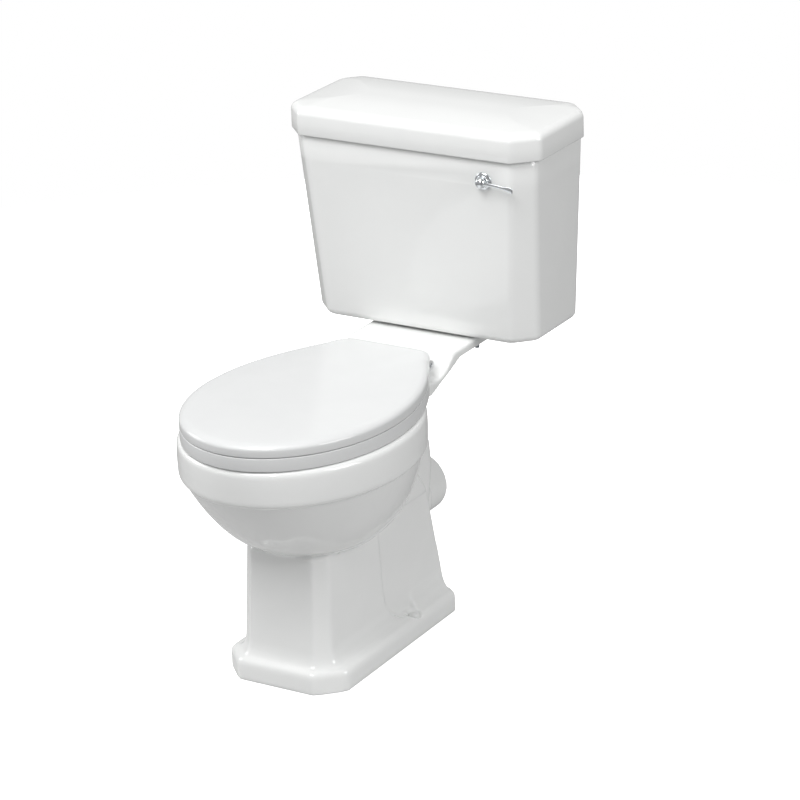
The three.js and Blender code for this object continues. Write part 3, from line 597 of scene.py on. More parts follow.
def newNodeTree(name, inputs):
    tree = bpy.data.node_groups.new(name, "GeometryNodeTree")
    tree.interface.new_socket("Geometry", in_out="INPUT", socket_type="NodeSocketGeometry")
    for label, kind, default in inputs:
        socket = tree.interface.new_socket(label, in_out="INPUT", socket_type=kind)
        if default is not None:
            socket.default_value = default
    tree.interface.new_socket("Geometry", in_out="OUTPUT", socket_type="NodeSocketGeometry")
    return tree, addNode(tree, "NodeGroupInput").outputs, addNode(tree, "NodeGroupOutput")


def closeNodeTree(tree, geometry, material, end):
    real = addNode(tree, "GeometryNodeRealizeInstances", {}, {"Geometry": geometry})
    painted = addNode(tree, "GeometryNodeSetMaterial", {},
        {"Geometry": real.outputs[0], "Material": material})
    tree.links.new(painted.outputs[0], end.inputs[0])


def threadTree():
    tree, given, end = newNodeTree("rolledThread", [
        ("Radius", "NodeSocketFloat", 0.004), ("Length", "NodeSocketFloat", 0.02),
        ("Turns", "NodeSocketFloat", 10.0),
        ("Depth", "NodeSocketFloat", 0.0006), ("Finish", "NodeSocketMaterial", None),
    ])
    helix = addNode(tree, "GeometryNodeCurveSpiral", {"Resolution": 28}, {
        "Rotations": given["Turns"], "Start Radius": given["Radius"], "End Radius": given["Radius"],
        "Height": given["Length"],
    })
    ridge = addNode(tree, "GeometryNodeCurvePrimitiveCircle", {"Resolution": 4}, {"Radius": given["Depth"]})
    sweep = addNode(tree, "GeometryNodeCurveToMesh", {"Fill Caps": True}, {
        "Curve": helix.outputs[0], "Profile Curve": ridge.outputs[0],
    })
    closeNodeTree(tree, sweep.outputs[0], given["Finish"], end)
    return tree


# Small upright rods at even steps along the edge loop that carries the modifier.
def rowTree():
    tree, given, end = newNodeTree("rodRow", [
        ("Count", "NodeSocketInt", 18), ("Radius", "NodeSocketFloat", 0.003),
        ("Height", "NodeSocketFloat", 0.02),
        ("Sides", "NodeSocketInt", 16), ("Finish", "NodeSocketMaterial", None),
    ])
    line = addNode(tree, "GeometryNodeMeshToCurve", {}, {"Mesh": given["Geometry"]})
    even = addNode(tree, "GeometryNodeResampleCurve", {}, {"Curve": line.outputs[0], "Count": given["Count"]})
    upright = addNode(tree, "GeometryNodeMeshCylinder", {}, {
        "Vertices": given["Sides"], "Radius": given["Radius"], "Depth": given["Height"],
    })
    placed = addNode(tree, "GeometryNodeInstanceOnPoints", {}, {
        "Points": even.outputs[0], "Instance": upright.outputs["Mesh"],
    })
    closeNodeTree(tree, placed.outputs[0], given["Finish"], end)
    return tree


threadNodes = threadTree()
rowNodes = rowTree()


def grown(carrier, tree, values):
    step = carrier.modifiers.new(tree.name, "NODES")
    step.node_group = tree
    for item in tree.interface.items_tree:
        if item.in_out == "INPUT" and item.name in values:
            step[item.identifier] = values[item.name]
    return settled(carrier)


def edgeLoop(name, ring):
    mesh = bpy.data.meshes.new(name)
    mesh.from_pydata([tuple(p) for p in ring], [(i, (i + 1) % len(ring)) for i in range(len(ring))], [])
    carrier = bpy.data.objects.new(name, mesh)
    bpy.context.scene.collection.objects.link(carrier)
    return carrier


def rodRow(name, ring, count, radius, height, slot, sides=16):
    return grown(edgeLoop(name, ring), rowNodes, {
        "Count": count, "Radius": radius * mm, "Height": height * mm, "Sides": sides,
        "Finish": finishes[slot],
    })


# A rolled thread wound on the bare shank of a CAD bolt. It stands a fraction of a millimetre proud.
def thread(name, node, radius, start, length, pitch, slot, toFrame=None):
    carrier = grown(objectOf(name, [], []), threadNodes, {
        "Radius": radius * mm, "Length": length * mm, "Turns": length / pitch, "Depth": 0.32 * pitch * mm,
        "Finish": finishes[slot],
    })
    carrier.data.transform(toFrame or Matrix.Translation(start))
    return finished(carrier, name, body=bodyOf[node], slot=slot)


# ---- pan

plinth = {"half": 108.4, "chamfer": 40.5, "front": 643, "back": 268, "backChamfer": 4}
shaftFoot = {"half": 78.6, "chamfer": 21, "front": 621.5, "back": 258, "backChamfer": 4}
shaftHead = {"half": 74.5, "chamfer": 19.2, "front": 610.6, "back": 288, "backChamfer": 4}
plinthRise = {"edge": 27, "shoulder": 37, "top": 68, "shoulderShare": 0.42, "arcSteps": 8}
shaftRise = {"head": 211, "rear": 290, "rearBack": 352, "rearFront": 590}

bowl = {"half": 171.5, "front": 211, "rear": 225, "centre": 533.9}
bowlFoot = {"half": 91, "front": 99, "rear": 223, "centre": 510}
bowlRise = {"foot": 216, "top": 345.6, "dropPower": 1.08, "fullness": 1.59, "levels": 40}
footRing = {"half": 100, "front": 113, "rear": 200, "centre": 503}
rim = {"half": 179.5, "front": 217.1, "rear": 229, "centre": 533.9}
rimRise = {"bottom": 345.6, "top": 404.5}
mouth = {"half": 125, "front": 165, "rear": 172, "centre": 533.9}

outlet = {"z": 178.9, "radius": 50.2, "bore": 43, "end": 186.5}
inlet = {"out": 105, "seat": 50, "throat": 32}
platform = {"half": 99, "back": 22, "front": 235, "z": 432.5, "thickness": 14}
pocket = {"x": 94, "out": 377, "radius": 12, "floor": 30, "screwHole": 4.5}
hinge = {"out": 282, "z": 424, "x": 66, "boltOut": 302, "pin": 3.5, "lug": 13.5}
coupling = {"x": 66, "hole": 6.5, "recess": 10.5}
panMake = {"voxel": 2.6, "smoothing": 7, "triangles": 185000}
rinse = {"count": 18, "radius": 3, "middle": 366.5, "depth": 17}


def pedestal():
    steps = plinthRise["arcSteps"]
    levels = [(0, 0.0), (plinthRise["edge"], 0.0)]
    for i in range(1, steps + 1):
        a = math.pi / 2 * i / steps
        rise = (plinthRise["shoulder"] - plinthRise["edge"]) * math.sin(a)
        levels.append((plinthRise["edge"] + rise, plinthRise["shoulderShare"] * (1 - math.cos(a))))
    for i in range(1, steps + 1):
        a = math.pi / 2 * i / steps
        cove = (plinthRise["top"] - plinthRise["shoulder"]) * math.cos(a)
        share = plinthRise["shoulderShare"] + (1 - plinthRise["shoulderShare"]) * math.sin(a)
        levels.append((plinthRise["top"] - cove, share))
    rings = [cutCornerRing(blendPlan(plinth, shaftFoot, share), z, 18 - 9 * share) for z, share in levels]
    for share in (0.25, 0.5, 0.75, 1):
        z = plinthRise["top"] + (shaftRise["head"] - plinthRise["top"]) * share
        rings.append(cutCornerRing(blendPlan(shaftFoot, shaftHead, share), z, 9))
    for share in (0.2, 0.4, 0.6, 0.8, 1):
        back = shaftHead["back"] + (shaftRise["rearBack"] - shaftHead["back"]) * share ** 1.3
        plan = {**shaftHead, "back": back, "front": shaftRise["rearFront"]}
        rings.append(cutCornerRing(plan,
            shaftRise["head"] + (shaftRise["rear"] - shaftRise["head"]) * share, 9))
    return loft("pedestal", rings)


# The bowl swells from its foot in one round sweep up to the step under the rim.
def bowlSkin():
    rings = []
    for i in range(bowlRise["levels"] + 1):
        drop = 1 - math.sin(math.pi / 2 * i / bowlRise["levels"])
        fullness = (1 - drop ** bowlRise["dropPower"]) ** (1 / bowlRise["fullness"])
        z = bowlRise["top"] - (bowlRise["top"] - bowlRise["foot"]) * drop
        rings.append(eggRing(blendPlan(bowlFoot, bowl, fullness), z + (i == bowlRise["levels"])))
    return loft("bowlSkin", rings)


def footMoulding():
    return loft("footMoulding", [eggRing(grownEgg(footRing, -5 + 5 * math.cos(a)), 218 + 5 * math.sin(a))
                                 for a in (math.pi * (k / 8 - 0.5) for k in range(9))])


def rimBand():
    bottom, top = rimRise["bottom"], rimRise["top"]
    profile = [(bottom, -8), (bottom + 0.6, -4), (bottom + 2.5, -1.6), (bottom + 8, -0.6), (bottom + 30, 0),
        (top - 12, -0.4)]
    profile += [(top - 9 + 9 * math.sin(a), -0.6 - 9 * (1 - math.cos(a)))
        for a in (math.pi / 2 * k / 6 for k in range(1, 7))]
    return loft("rimBand", [eggRing(grownEgg(rim, step), z) for z, step in profile])


def bowlWell():
    levels = [
        (222, {"half": 34, "front": 40, "rear": 46, "centre": 446}),
        (242, {"half": 72, "front": 85, "rear": 76, "centre": 467}),
        (280, {"half": 113, "front": 139, "rear": 126, "centre": 500}),
        (320, {"half": 139, "front": 175, "rear": 165, "centre": 524}),
        (354, {"half": 150, "front": 190, "rear": 180, "centre": 533.9}),
        (362, {"half": 148, "front": 188, "rear": 180, "centre": 533.9}),
    ]
    hollow = loft("bowlHollow", [eggRing(egg, z) for z, egg in throughLevels(levels, 8)])
    top = rimRise["top"]
    lip = [(358, 1), (370, 0), (top - 9, 0), (top - 5, 1.2), (top - 2, 3.4), (top + 1, 8)]
    opening = loft("bowlMouth", [eggRing(grownEgg(mouth, step), z) for z, step in lip])
    return fused(hollow, [opening])


def rimChannel():
    outer = {"half": rim["half"] - 11, "front": rim["front"] - 11, "rear": 214, "centre": rim["centre"]}
    ring = loft("rimChannel", [eggRing(outer, 371), eggRing(outer, 394)])
    core = loft("rimCore", [eggRing(grownEgg(mouth, 10), 370), eggRing(grownEgg(mouth, 10), 395)])
    return carved(ring, [core])


def panHollow():
    foot = {"half": 64, "chamfer": 12, "front": 604, "back": 292, "backChamfer": 4}
    levels = [
        (-2, {**foot, "half": 78, "front": 616}), (20, {**foot, "half": 78, "front": 616}), (52, foot),
        (116, {**foot, "half": 60, "front": 597, "back": 340}),
        (150, {**foot, "half": 54, "front": 560, "back": 400}),
        (184, {**foot, "half": 40, "front": 545, "back": 440}),
    ]
    return loft("panHollow", [cutCornerRing(plan, z, 10) for z, plan in levels])


def upright(name, radius, z0, z1, x, out, sides=40):
    return rod(name, radius, point(x, out, z0), point(x, out, z1), sides)


def level(name, radius, out0, out1, x, z, sides=64):
    return rod(name, radius, point(x, out0, z), point(x, out1, z), sides)


# The rear of each side is set back behind a line that curves down to the fixing pocket.
def sideRelief(side):
    outline = [(446, 214), (443, 100), (438, 72), (426, 52), (404, 38), (362, 34), (362, 60), (230, 62),
        (230, 214)]
    depth, proud = 1.8, 3  # how far it is set back, and how far the cutter stands outside the wall
    piece = slab("sideRelief", outline, -proud, 12, radius=16)
    for vertex in piece.data.vertices:
        climb = shaftRise["head"] - plinthRise["top"]
        rise = min(1, max(0, (vertex.co.z / mm - plinthRise["top"]) / climb))
        half = shaftFoot["half"] + (shaftHead["half"] - shaftFoot["half"]) * rise
        vertex.co.x = side * ((half - depth + proud) * mm + vertex.co.x)
    faceOutwards(piece)
    return piece


def panShape():
    under = platform["z"] - platform["thickness"]
    shelfOutline = [
        (platform["back"], platform["z"]), (platform["front"], platform["z"]), (250, 420), (262, 410),
        (276, 404.5),
        (350, 404.5), (350, 372), (314, 384), (290, 392), (268, 400), (245, 408), (219, under),
        (platform["back"], under),
    ]
    ductOutline = [
        (56, 421), (236, 421), (256, 402), (400, 400), (400, 290), (330, 290), (300, 306), (240, 336),
        (190, 357), (140, 374), (56, 380),
    ]
    trapOutline = [
        (440, 190), (440, 345), (345, 345), (300, 338), (262, 318), (238, 285), (233, 240),
        (236, 216), (256, 136), (300, 124), (380, 150),
    ]
    half = platform["half"]
    body = fused(pedestal(), [
        bowlSkin(), footMoulding(), rimBand(),
        slab("shelf", shelfOutline, -half, half, radius=16, rim=5),
        slab("duct", ductOutline, -46, 46, radius=14, rim=12),
        slab("trapCasing", trapOutline, -60, 60, radius=34, rim=26),
        level("spigotRoot", outlet["radius"] + 7, 320, 246, 0, outlet["z"]),
        level("spigot", outlet["radius"], 330, outlet["end"], 0, outlet["z"]),
    ])
    seatCone = lathe("seatCone", [(0, 386), (inlet["throat"], 386), (inlet["throat"], 403),
        (inlet["seat"], 408), (inlet["seat"], 440), (0, 440)],
                     point(0, inlet["out"], 0))
    tools = [
        passage("trapWay", [(470, 262), (420, 240), (378, 248), (345, 284), (312, 288), (290, 255),
        (276, 205), (240, 180)], 33),
        passage("flushWay", [(inlet["out"], 402), (112, 396), (180, 390), (260, 380), (330, 382)], 16),
        level("outletBore", outlet["bore"], 272, outlet["end"] - 5, 0, outlet["z"]),
        seatCone, panHollow(), bowlWell(), rimChannel(),
        block("rearDoor", point(-48, 349.5, -1), point(48, 224.5, 100)),
    ]
    for side in (1, -1):
        tools += [sideRelief(side), upright("pocketBore", pocket["radius"], pocket["floor"], 72,
            side * pocket["x"], pocket["out"])]
    return carved(body, tools)


def meltedEdges(piece, make):
    # glaze pools over every edge: a fine voxel skin, smoothed, gives all of them the same soft radius
    remesh = piece.modifiers.new("skin", "REMESH")
    remesh.mode = "VOXEL"
    remesh.voxel_size = make["voxel"] * mm
    smooth = piece.modifiers.new("glaze", "SMOOTH")
    smooth.factor = 0.5
    smooth.iterations = make["smoothing"]
    settled(piece)
    triangles = sum(len(face.vertices) - 2 for face in piece.data.polygons)
    thin = piece.modifiers.new("thin", "DECIMATE")
    thin.ratio = min(1, make["triangles"] / triangles)
    return settled(piece)


def makePan():
    pan = meltedEdges(panShape(), panMake)
    holes = []
    for side in (1, -1):
        holes += [
            upright("screwHole", pocket["screwHole"], -2, pocket["floor"] + 6, side * pocket["x"],
            pocket["out"]),
            upright("hingeHole", 6, 360, 410, side * hinge["x"], hinge["boltOut"]),
            upright("hingeRecess", 15, 360, 394, side * hinge["x"], hinge["boltOut"]),
            upright("couplingHole", coupling["hole"], 400, 440, side * coupling["x"], inlet["out"]),
            upright("headRecess", coupling["recess"], platform["z"] - 4, 440, side * coupling["x"],
            inlet["out"]),
        ]
    carved(pan, holes)
    carved(pan, [rodRow("rinseHoles", eggRing(grownEgg(mouth, 16), rinse["middle"]), rinse["count"],
        rinse["radius"], rinse["depth"], "china")])
    finished(pan, "pan_china", "pan", sharp=60)


makePan()
print("toilet: pan made")


# ---- cistern

cisternFoot = {"half": 203.3, "chamfer": 33.9, "front": 178.7, "back": 0, "backChamfer": 20}
cisternHead = {"half": 219.8, "chamfer": 29.8, "front": 200.7, "back": 0, "backChamfer": 20}
cistern = {"bottom": 436.1, "headZ": 747, "top": 760, "skirt": 746.8, "wall": 11, "floor": 12, "step": 3,
    "corner": 20}
flush = {"x": 140.5, "z": 711, "reach": 88, "spindle": 84}
valve = {"x": -150, "out": 80, "top": 652}
lean = math.atan((cisternHead["front"] - cisternFoot["front"]) / (cistern["headZ"] - cistern["bottom"]))
faceOut = cisternFoot["front"] + math.tan(lean) * (flush["z"] - cistern["bottom"])


def cisternPlan(z, step=0, back=None):
    plan = blendPlan(cisternFoot, cisternHead,
        (z - cistern["bottom"]) / (cistern["headZ"] - cistern["bottom"]))
    plan = insetPlan(plan, step)
    plan["back"] = min(step, 3) if back is None else back
    return plan


# The lever's own frame: its axis leaves the leaning front face squarely, out along -Y.
leverFrame = Matrix.Translation(point(flush["x"], faceOut, flush["z"])) @ Matrix.Rotation(lean, 4, "X")


def leverPoint(x, out, z):
    return leverFrame @ Vector((x * mm, -out * mm, z * mm))


def makeCistern():
    bottom, radius = cistern["bottom"], cistern["corner"]
    rings = []
    for k in range(9):
        a = math.pi / 2 * k / 8
        z = bottom + 12 * (1 - math.cos(a))
        rings.append(cutCornerRing(cisternPlan(z, 11 * (1 - math.sin(a))), z, radius))
    for z in (470, 520, 580, 640, 700, cistern["skirt"] - 1):
        rings.append(cutCornerRing(cisternPlan(z, 0), z, radius))
    for z in (cistern["skirt"] + 2, cistern["top"] - 2.5):
        rings.append(cutCornerRing(cisternPlan(z, cistern["step"], 0), z, radius))
    for k in range(1, 5):
        a = math.pi / 2 * k / 4
        z = cistern["top"] - 2.5 + 2.5 * math.sin(a)
        rings.append(cutCornerRing(cisternPlan(z, cistern["step"] + 2.5 * (1 - math.cos(a)), 0), z, radius))
    shell = loft("cistern", rings)
    floorZ = bottom + cistern["floor"]
    inner = [(floorZ, cistern["wall"] + 10), (floorZ + 1.5, cistern["wall"] + 5.5),
        (floorZ + 4.5, cistern["wall"] + 1.8),
             (floorZ + 9, cistern["wall"]), (cistern["top"] - 4, cistern["wall"]),
             (cistern["top"] - 1, cistern["wall"] - 1), (cistern["top"] + 1, cistern["wall"] - 4)]
    hollow = loft("cisternHollow", [cutCornerRing(cisternPlan(z, step, step), z, 16) for z, step in inner])
    holes = [
        upright("siphonHole", 30, bottom - 1, floorZ + 1, 0, inlet["out"]),
        upright("inletHole", 11.5, bottom - 1, floorZ + 1, valve["x"], valve["out"]),
        level("wallHoleRight", 4, 16, -1, 105, 700),
        level("wallHoleLeft", 4, 16, -1, -105, 700),
        rod("leverHole", 8.5, leverPoint(0, 4, 0), leverPoint(0, -18, 0)),
    ]
    carved(shell, [hollow] + holes)
    finished(rounded(shell, 1.2, 50), "cistern_china", "cistern", sharp=50)


makeCistern()


# ---- cistern lid

lidPlan = {"half": 229.7, "chamfer": 36.7, "front": 207.3, "back": 0, "backChamfer": 30}
lid = {"skirt": 746.8, "shoulder": 778.5, "top": 797, "edge": 12, "play": 1.2, "rib": 13.5}


# The top rises from the rounded shoulder in a shallow crown that flattens out in the middle.
def lidLevels():
    levels = [(lid["skirt"], 2), (lid["skirt"] + 0.6, 0.6), (lid["skirt"] + 2, 0),
        (lid["shoulder"] - 12, 0), (lid["shoulder"], 0)]
    for k in range(1, 9):
        a = math.radians(78) * k / 8
        levels.append((lid["shoulder"] + 13 * math.sin(a), 16 * (1 - math.cos(a))))
    z0, t0 = levels[-1]
    for k in range(1, 9):
        share = k / 8
        levels.append((z0 + (lid["top"] - z0) * math.sin(math.pi / 2 * share), t0 + 86 * share))
    return levels


def makeCisternLid():
    rings = []
    for z, step in lidLevels():
        plan = insetPlan(lidPlan, step)
        plan["back"] = max(0, step - 14) if step > 14 else step * 0.3
        rings.append(cutCornerRing(plan, z, 16 + step * 0.3))
    skin = loft("cisternLid", rings)
    under = cistern["top"] + 0.3
    sleevePlan = [(lid["skirt"] - 1, -lid["play"]), (lid["skirt"] + 2, -lid["play"]),
                  (lid["skirt"] + 5, cistern["step"] - lid["play"]), (under, cistern["step"] - lid["play"])]
    sleeve = loft("sleeve", [cutCornerRing(cisternPlan(cistern["top"], step, -6), z, 18) for z,
        step in sleevePlan])
    rib = loft("locatingRib", [cutCornerRing(cisternPlan(cistern["top"], lid["rib"], lid["rib"]), z, 12)
                               for z in (cistern["top"] - 8, cistern["top"] + 6)])
    well = loft("well", [cutCornerRing(cisternPlan(cistern["top"], step, step), z, 10)
                         for z, step in ((cistern["top"] - 9, 19.5), (772, 19.5), (784, 45.5))])
    carved(skin, [sleeve])
    fused(skin, [rib])
    carved(skin, [well])
    finished(rounded(skin, 1.0, 60), "cistern_lid_china", "cistern_lid", sharp=50)


makeCisternLid()
print("toilet: cistern and lid made")


# ---- seat

seat = {"half": 170.4, "front": 215.6, "centre": 533.9, "back": 270, "middle": 503.9, "ringBottom": 407.5,
    "ringTop": 427, "lip": 6, "ringLip": 405.3}
seatMouth = {"half": 112, "front": 160, "rear": 149, "centre": 533.9}
seatLid = {"bottom": 429.2, "edge": 441, "crown": 451, "lip": 427.7}


def bezier(points, count):
    made = []
    for k in range(count):
        t = k / count
        line = [Vector(p) for p in points]
        while len(line) > 1:
            line = [a.lerp(b, t) for a, b in zip(line, line[1:])]
        made.append(line[0])
    return made


# Half an ellipse in front, then sides that run in to rounded corners and a straight back.
def seatOutline():
    wide, centre = seat["half"], seat["centre"]
    front = [Vector((wide * math.cos(a), centre - seat["front"] * math.sin(a), 0))
             for a in (math.pi + math.pi * k / 72 for k in range(72))]
    rearRight = bezier([(wide, centre, 0), (wide, centre - 104, 0), (123, centre - 182, 0),
        (94, centre - 228, 0)], 32)
    cornerRight = bezier([(94, centre - 228, 0), (81, seat["back"], 0), (60, seat["back"], 0)], 10)
    back = [Vector((60 - 120 * k / 10, seat["back"], 0)) for k in range(10)]
    mirrored = [Vector((-p.x, p.y, 0))
        for p in reversed((rearRight + cornerRight)[1:] + [Vector((60, seat["back"], 0))])]
    return front + rearRight + cornerRight + back + mirrored


outlinePoints = seatOutline()


def seatLevel(step, z):
    # step is how far the ring draws in from the outline, in millimetres at the widest point
    scale = 1 - step / seat["half"]
    return [point(p.x * scale, seat["middle"] + (p.y - seat["middle"]) * scale, z) for p in outlinePoints]


def knuckle(name, x, radius=8, width=9):
    return rod(name, radius, point(x - width / 2, hinge["out"], hinge["z"]),
        point(x + width / 2, hinge["out"], hinge["z"]))


def pinBore():
    return rod("pinBore", 4.1, point(-110, hinge["out"], hinge["z"]), point(110, hinge["out"], hinge["z"]))


def arcLevels(z0, step0, rise, run, count=6):
    # a quarter round: up by rise while drawing in by run
    return [(z0 + rise * math.sin(a), step0 + run * (1 - math.cos(a)))
            for a in (math.pi / 2 * k / count for k in range(count + 1))]


# The underside is set up inside a narrow lip that closes the gap to the piece below.
def underRecess(lip, bottom):
    edge = seat["lip"]
    return loft("underRecess", [seatLevel(edge, lip - 2), seatLevel(edge, lip + 0.4),
        seatLevel(edge + 1.2, bottom)])


def makeSeatRing():
    bottom, top, lip = seat["ringBottom"], seat["ringTop"], seat["ringLip"]
    lower = [(2 * lip + 1.4 - z, step) for z, step in reversed(arcLevels(lip, 0, 1.4, 1.4))]
    upper = arcLevels(top - 1.8, 0, 1.5, 2)
    crown = [(top - 0.3 + 0.3 * math.sin(math.pi / 2 * k / 4), 2 + 8 * k / 4) for k in range(1, 5)]
    outer = loft("seatRing", [seatLevel(step, z) for z, step in lower + upper + crown])
    mouth = [(bottom - 1, 4), (bottom + 1, 2), (bottom + 4, 0.4), (bottom + 8, 0)]
    mouth += [(top - 9 + 8.4 * math.sin(a), 11 * (1 - math.cos(a)))
        for a in (math.pi / 2 * k / 8 for k in range(9))]
    mouth += [(top + 1, 15)]
    opening = loft("seatMouth", [eggRing(grownEgg(seatMouth, step), z) for z, step in mouth])
    behind = block("behind", point(-200, 330, top - 30), point(200, 230, top + 30))
    carved(outer, [opening, behind, underRecess(lip, bottom)])
    lugs = []
    for side in (1, -1):
        x = side * (hinge["x"] + hinge["lug"])
        lugs.append(slab("ringLug", [(hinge["out"] - 2, 415.5), (336, 412), (336, 425),
            (hinge["out"] - 2, 431)], x - 4.5, x + 4.5, radius=3))
        lugs.append(knuckle("ringKnuckle", x))
    fused(outer, lugs)
    carved(outer, [pinBore()])
    finished(rounded(outer, 0.9, 45), "seat_ring_moulding", "seat_ring", sharp=40)


def makeSeatLid():
    bottom, edge, crown, lip = seatLid["bottom"], seatLid["edge"], seatLid["crown"], seatLid["lip"]
    lower = [(2 * lip + 1.2 - z, step) for z, step in reversed(arcLevels(lip, 0, 1.2, 1.2))]
    upper = arcLevels(edge - 3, 0, 9, 14, 9)[:-1]
    zEdge, stepEdge = upper[-1]
    top = []
    for k in range(1, 25):
        share = k / 24
        top.append((zEdge + (crown - zEdge) * (1 - (1 - share) ** 2.6),
            stepEdge + (0.97 * seat["half"] - stepEdge) * share))
    skin = loft("seatLid", [seatLevel(step, z) for z, step in lower + upper + top])
    hollow = loft("lidHollow", [seatLevel(step, z) for z, step in
                                [(bottom - 1, 31), (bottom + 0.5, 33), (bottom + 3, 35), (bottom + 5.5, 38),
                                (bottom + 7, 44)]])
    fromHinge = block("fromHinge", point(-200, 345, bottom - 20), point(200, 230, bottom + 20))
    carved(hollow, [fromHinge])
    tools = [underRecess(lip, bottom), hollow]
    lugs = []
    for side in (1, -1):
        x = side * hinge["x"]
        tools.append(block("hingeBay", point(x - 26, 321, 417), point(x + 26, 259, 437)))
        x = side * (hinge["x"] - hinge["lug"])
        lugs.append(slab("lidLug", [(hinge["out"] - 8, 423), (hinge["out"] + 8, 423),
            (hinge["out"] + 8, 441), (hinge["out"] - 8, 441)], x - 4.5, x + 4.5))
        lugs.append(knuckle("lidKnuckle", x))
    carved(skin, tools)
    fused(skin, lugs)
    carved(skin, [pinBore()])
    finished(rounded(skin, 0.9, 45), "seat_lid_moulding", "seat_lid", sharp=40)


makeSeatRing()
makeSeatLid()
print("toilet: seat made")


# ---- flush lever

lever = {"arm": [(4, 12.5, 0), (15, 13.6, 0.4), (28, 14.2, 0.2), (41, 14.6, -1.0), (51, 15, -2.6),
    (59.5, 15.2, -4.4)]}


def leverLathe(name, profile, radius=0.5):
    turned = leverFrame @ Matrix.Rotation(math.pi / 2, 4, "X")
    return lathe(name, profile, toFrame=turned, radius=radius, sides=96)


def makeEscutcheon():
    profile = [(5.6, -19), (8, -19), (8, 0.3), (14.7, 0.3), (14.7, 1.9), (13.4, 3.4), (11.4, 4.3),
        (10.2, 4.5), (9.8, 6.3), (5.6, 6.3)]
    finished(leverLathe("escutcheon", profile, 0.6), "lever_escutcheon_chrome", "lever_escutcheon", sharp=50)


# A domed boss, a slim arm that droops to the right, and a flattened thumb end.
def makeLeverHandle():
    boss = leverLathe("boss", [(0, 6.8), (8.4, 6.8), (9, 8.6), (8.9, 11), (7.9, 14), (5.6, 16.2),
        (2.8, 17.2), (0, 17.4)], 1.4)
    line = [p for p in throughLevels([(0, {"x": x, "out": out, "z": z}) for x, out, z in lever["arm"]], 6)]
    rings = []
    for i, (_, place) in enumerate(line):
        share = i / (len(line) - 1)
        flat = max(0.0, (share - 0.62) / 0.38)
        end = math.sqrt(max(0.02, 1 - max(0.0, (share - 0.93) / 0.07) ** 2))
        thick = (2.5 - 0.9 * flat) * end
        tall = (3.0 + 2.2 * math.sin(math.pi / 2 * flat)) * end
        ring = [leverPoint(place["x"], place["out"] + thick * math.cos(a), place["z"] + tall * math.sin(a))
                for a in (2 * math.pi * k / 32 for k in range(32))]
        rings.append(ring)
    arm = loft("arm", rings)
    faceOutwards(arm)
    fused(boss, [arm])
    finished(rounded(boss, 0.8, 50), "lever_handle_chrome", "lever_handle", sharp=60)


makeEscutcheon()
makeLeverHandle()
print("toilet: lever made")


# ---- small fittings, each built where its CAD piece lies

def span(node):
    low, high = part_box(node)
    return {
        "x": (low.x + high.x) / 2 / mm, "out": (wallY - (low.y + high.y) / 2) / mm,
        "z0": low.z / mm, "z1": high.z / mm, "wide": (high.x - low.x) / mm, "deep": (high.y - low.y) / mm,
    }


def prism(name, sides, radius, z0, z1, place, turn=0.0):
    return loft(name, [[place + Vector((math.cos(a), math.sin(a), 0)) * radius * mm + Vector((0, 0, z * mm))
                        for a in (turn + 2 * math.pi * k / sides for k in range(sides))] for z in (z0, z1)])


def makeWasher(node, inner, soften=0.8):
    at = span(node)
    outer = at["wide"] / 2
    profile = [(inner, at["z0"]), (outer, at["z0"]), (outer, at["z1"]), (inner, at["z1"])]
    piece = lathe(node, profile, point(at["x"], at["out"], 0), radius=soften)
    return finished(piece, node + "_ring", node, sharp=60)


wingShape = {"hub": 8, "wing": 13.5, "drop": 12, "thick": 3.4}


# A pressed nut with two ears that sweep down and out from its hub.
def makeWingNut(node, hole, turn=0):
    at = span(node)
    place = point(at["x"], at["out"], 0)
    across = Vector((math.cos(turn), math.sin(turn), 0))
    along = Vector((-math.sin(turn), math.cos(turn), 0))
    top, low = at["z1"], at["z0"]
    hub = lathe(node, [(0, top - 9), (6.6, top - 9), (wingShape["hub"], top - 2.2), (wingShape["hub"], top),
        (0, top)], place, radius=0.8)
    ears = []
    for side in (1, -1):
        outline = [(3, top - 3), (9, top - 4), (wingShape["wing"], low + 5.5), (wingShape["wing"] - 1, low),
            (8.5, low + 1), (3, top - 8)]
        ring = softened([across * side * x * mm + Vector((0, 0, z * mm)) for x, z in outline], 2.4 * mm, 4)
        ear = loft("ear", [[place + p + along * y * mm for p in ring]
            for y in (-wingShape["thick"] / 2, wingShape["thick"] / 2)])
        faceOutwards(ear)
        ears.append(ear)
    fused(hub, ears)
    carved(hub, [rod("hole", hole, place + Vector((0, 0, (low - 6) * mm)),
        place + Vector((0, 0, (top + 1) * mm)))])
    return finished(rounded(hub, 0.5, 40), node + "_pressing", node, sharp=40)


def makeFloorFixing(side, word):
    x, out, z = side * pocket["x"], pocket["out"], pocket["floor"] + 0.3
    place = point(x, out, 0)
    screw = lathe("screw", [(0, 1), (2.2, 1), (3.5, 4), (3.5, z), (7, z), (7, z + 1.2), (5, z + 2.9),
        (0, z + 3)], place, radius=0.3)
    finished(screw, f"floor_screw_{word}_turned", f"floor_screw_{word}", sharp=50)
    thread(f"floor_screw_{word}_thread", f"floor_screw_{word}", 3.5, point(x, out, 3), 22, 2.4, "zinc")
    cap = [(0, z + 8.4), (3.4, z + 8.1), (6.4, z + 7), (8.6, z + 4.8), (9.5, z + 2), (9.6, z), (8.3, z),
        (7.6, z + 3.4), (4, z + 5.4), (0, z + 5.6)]
    finished(lathe("cap", cap, place, radius=0.9), f"screw_cap_{word}_moulding", f"screw_cap_{word}",
        sharp=50)


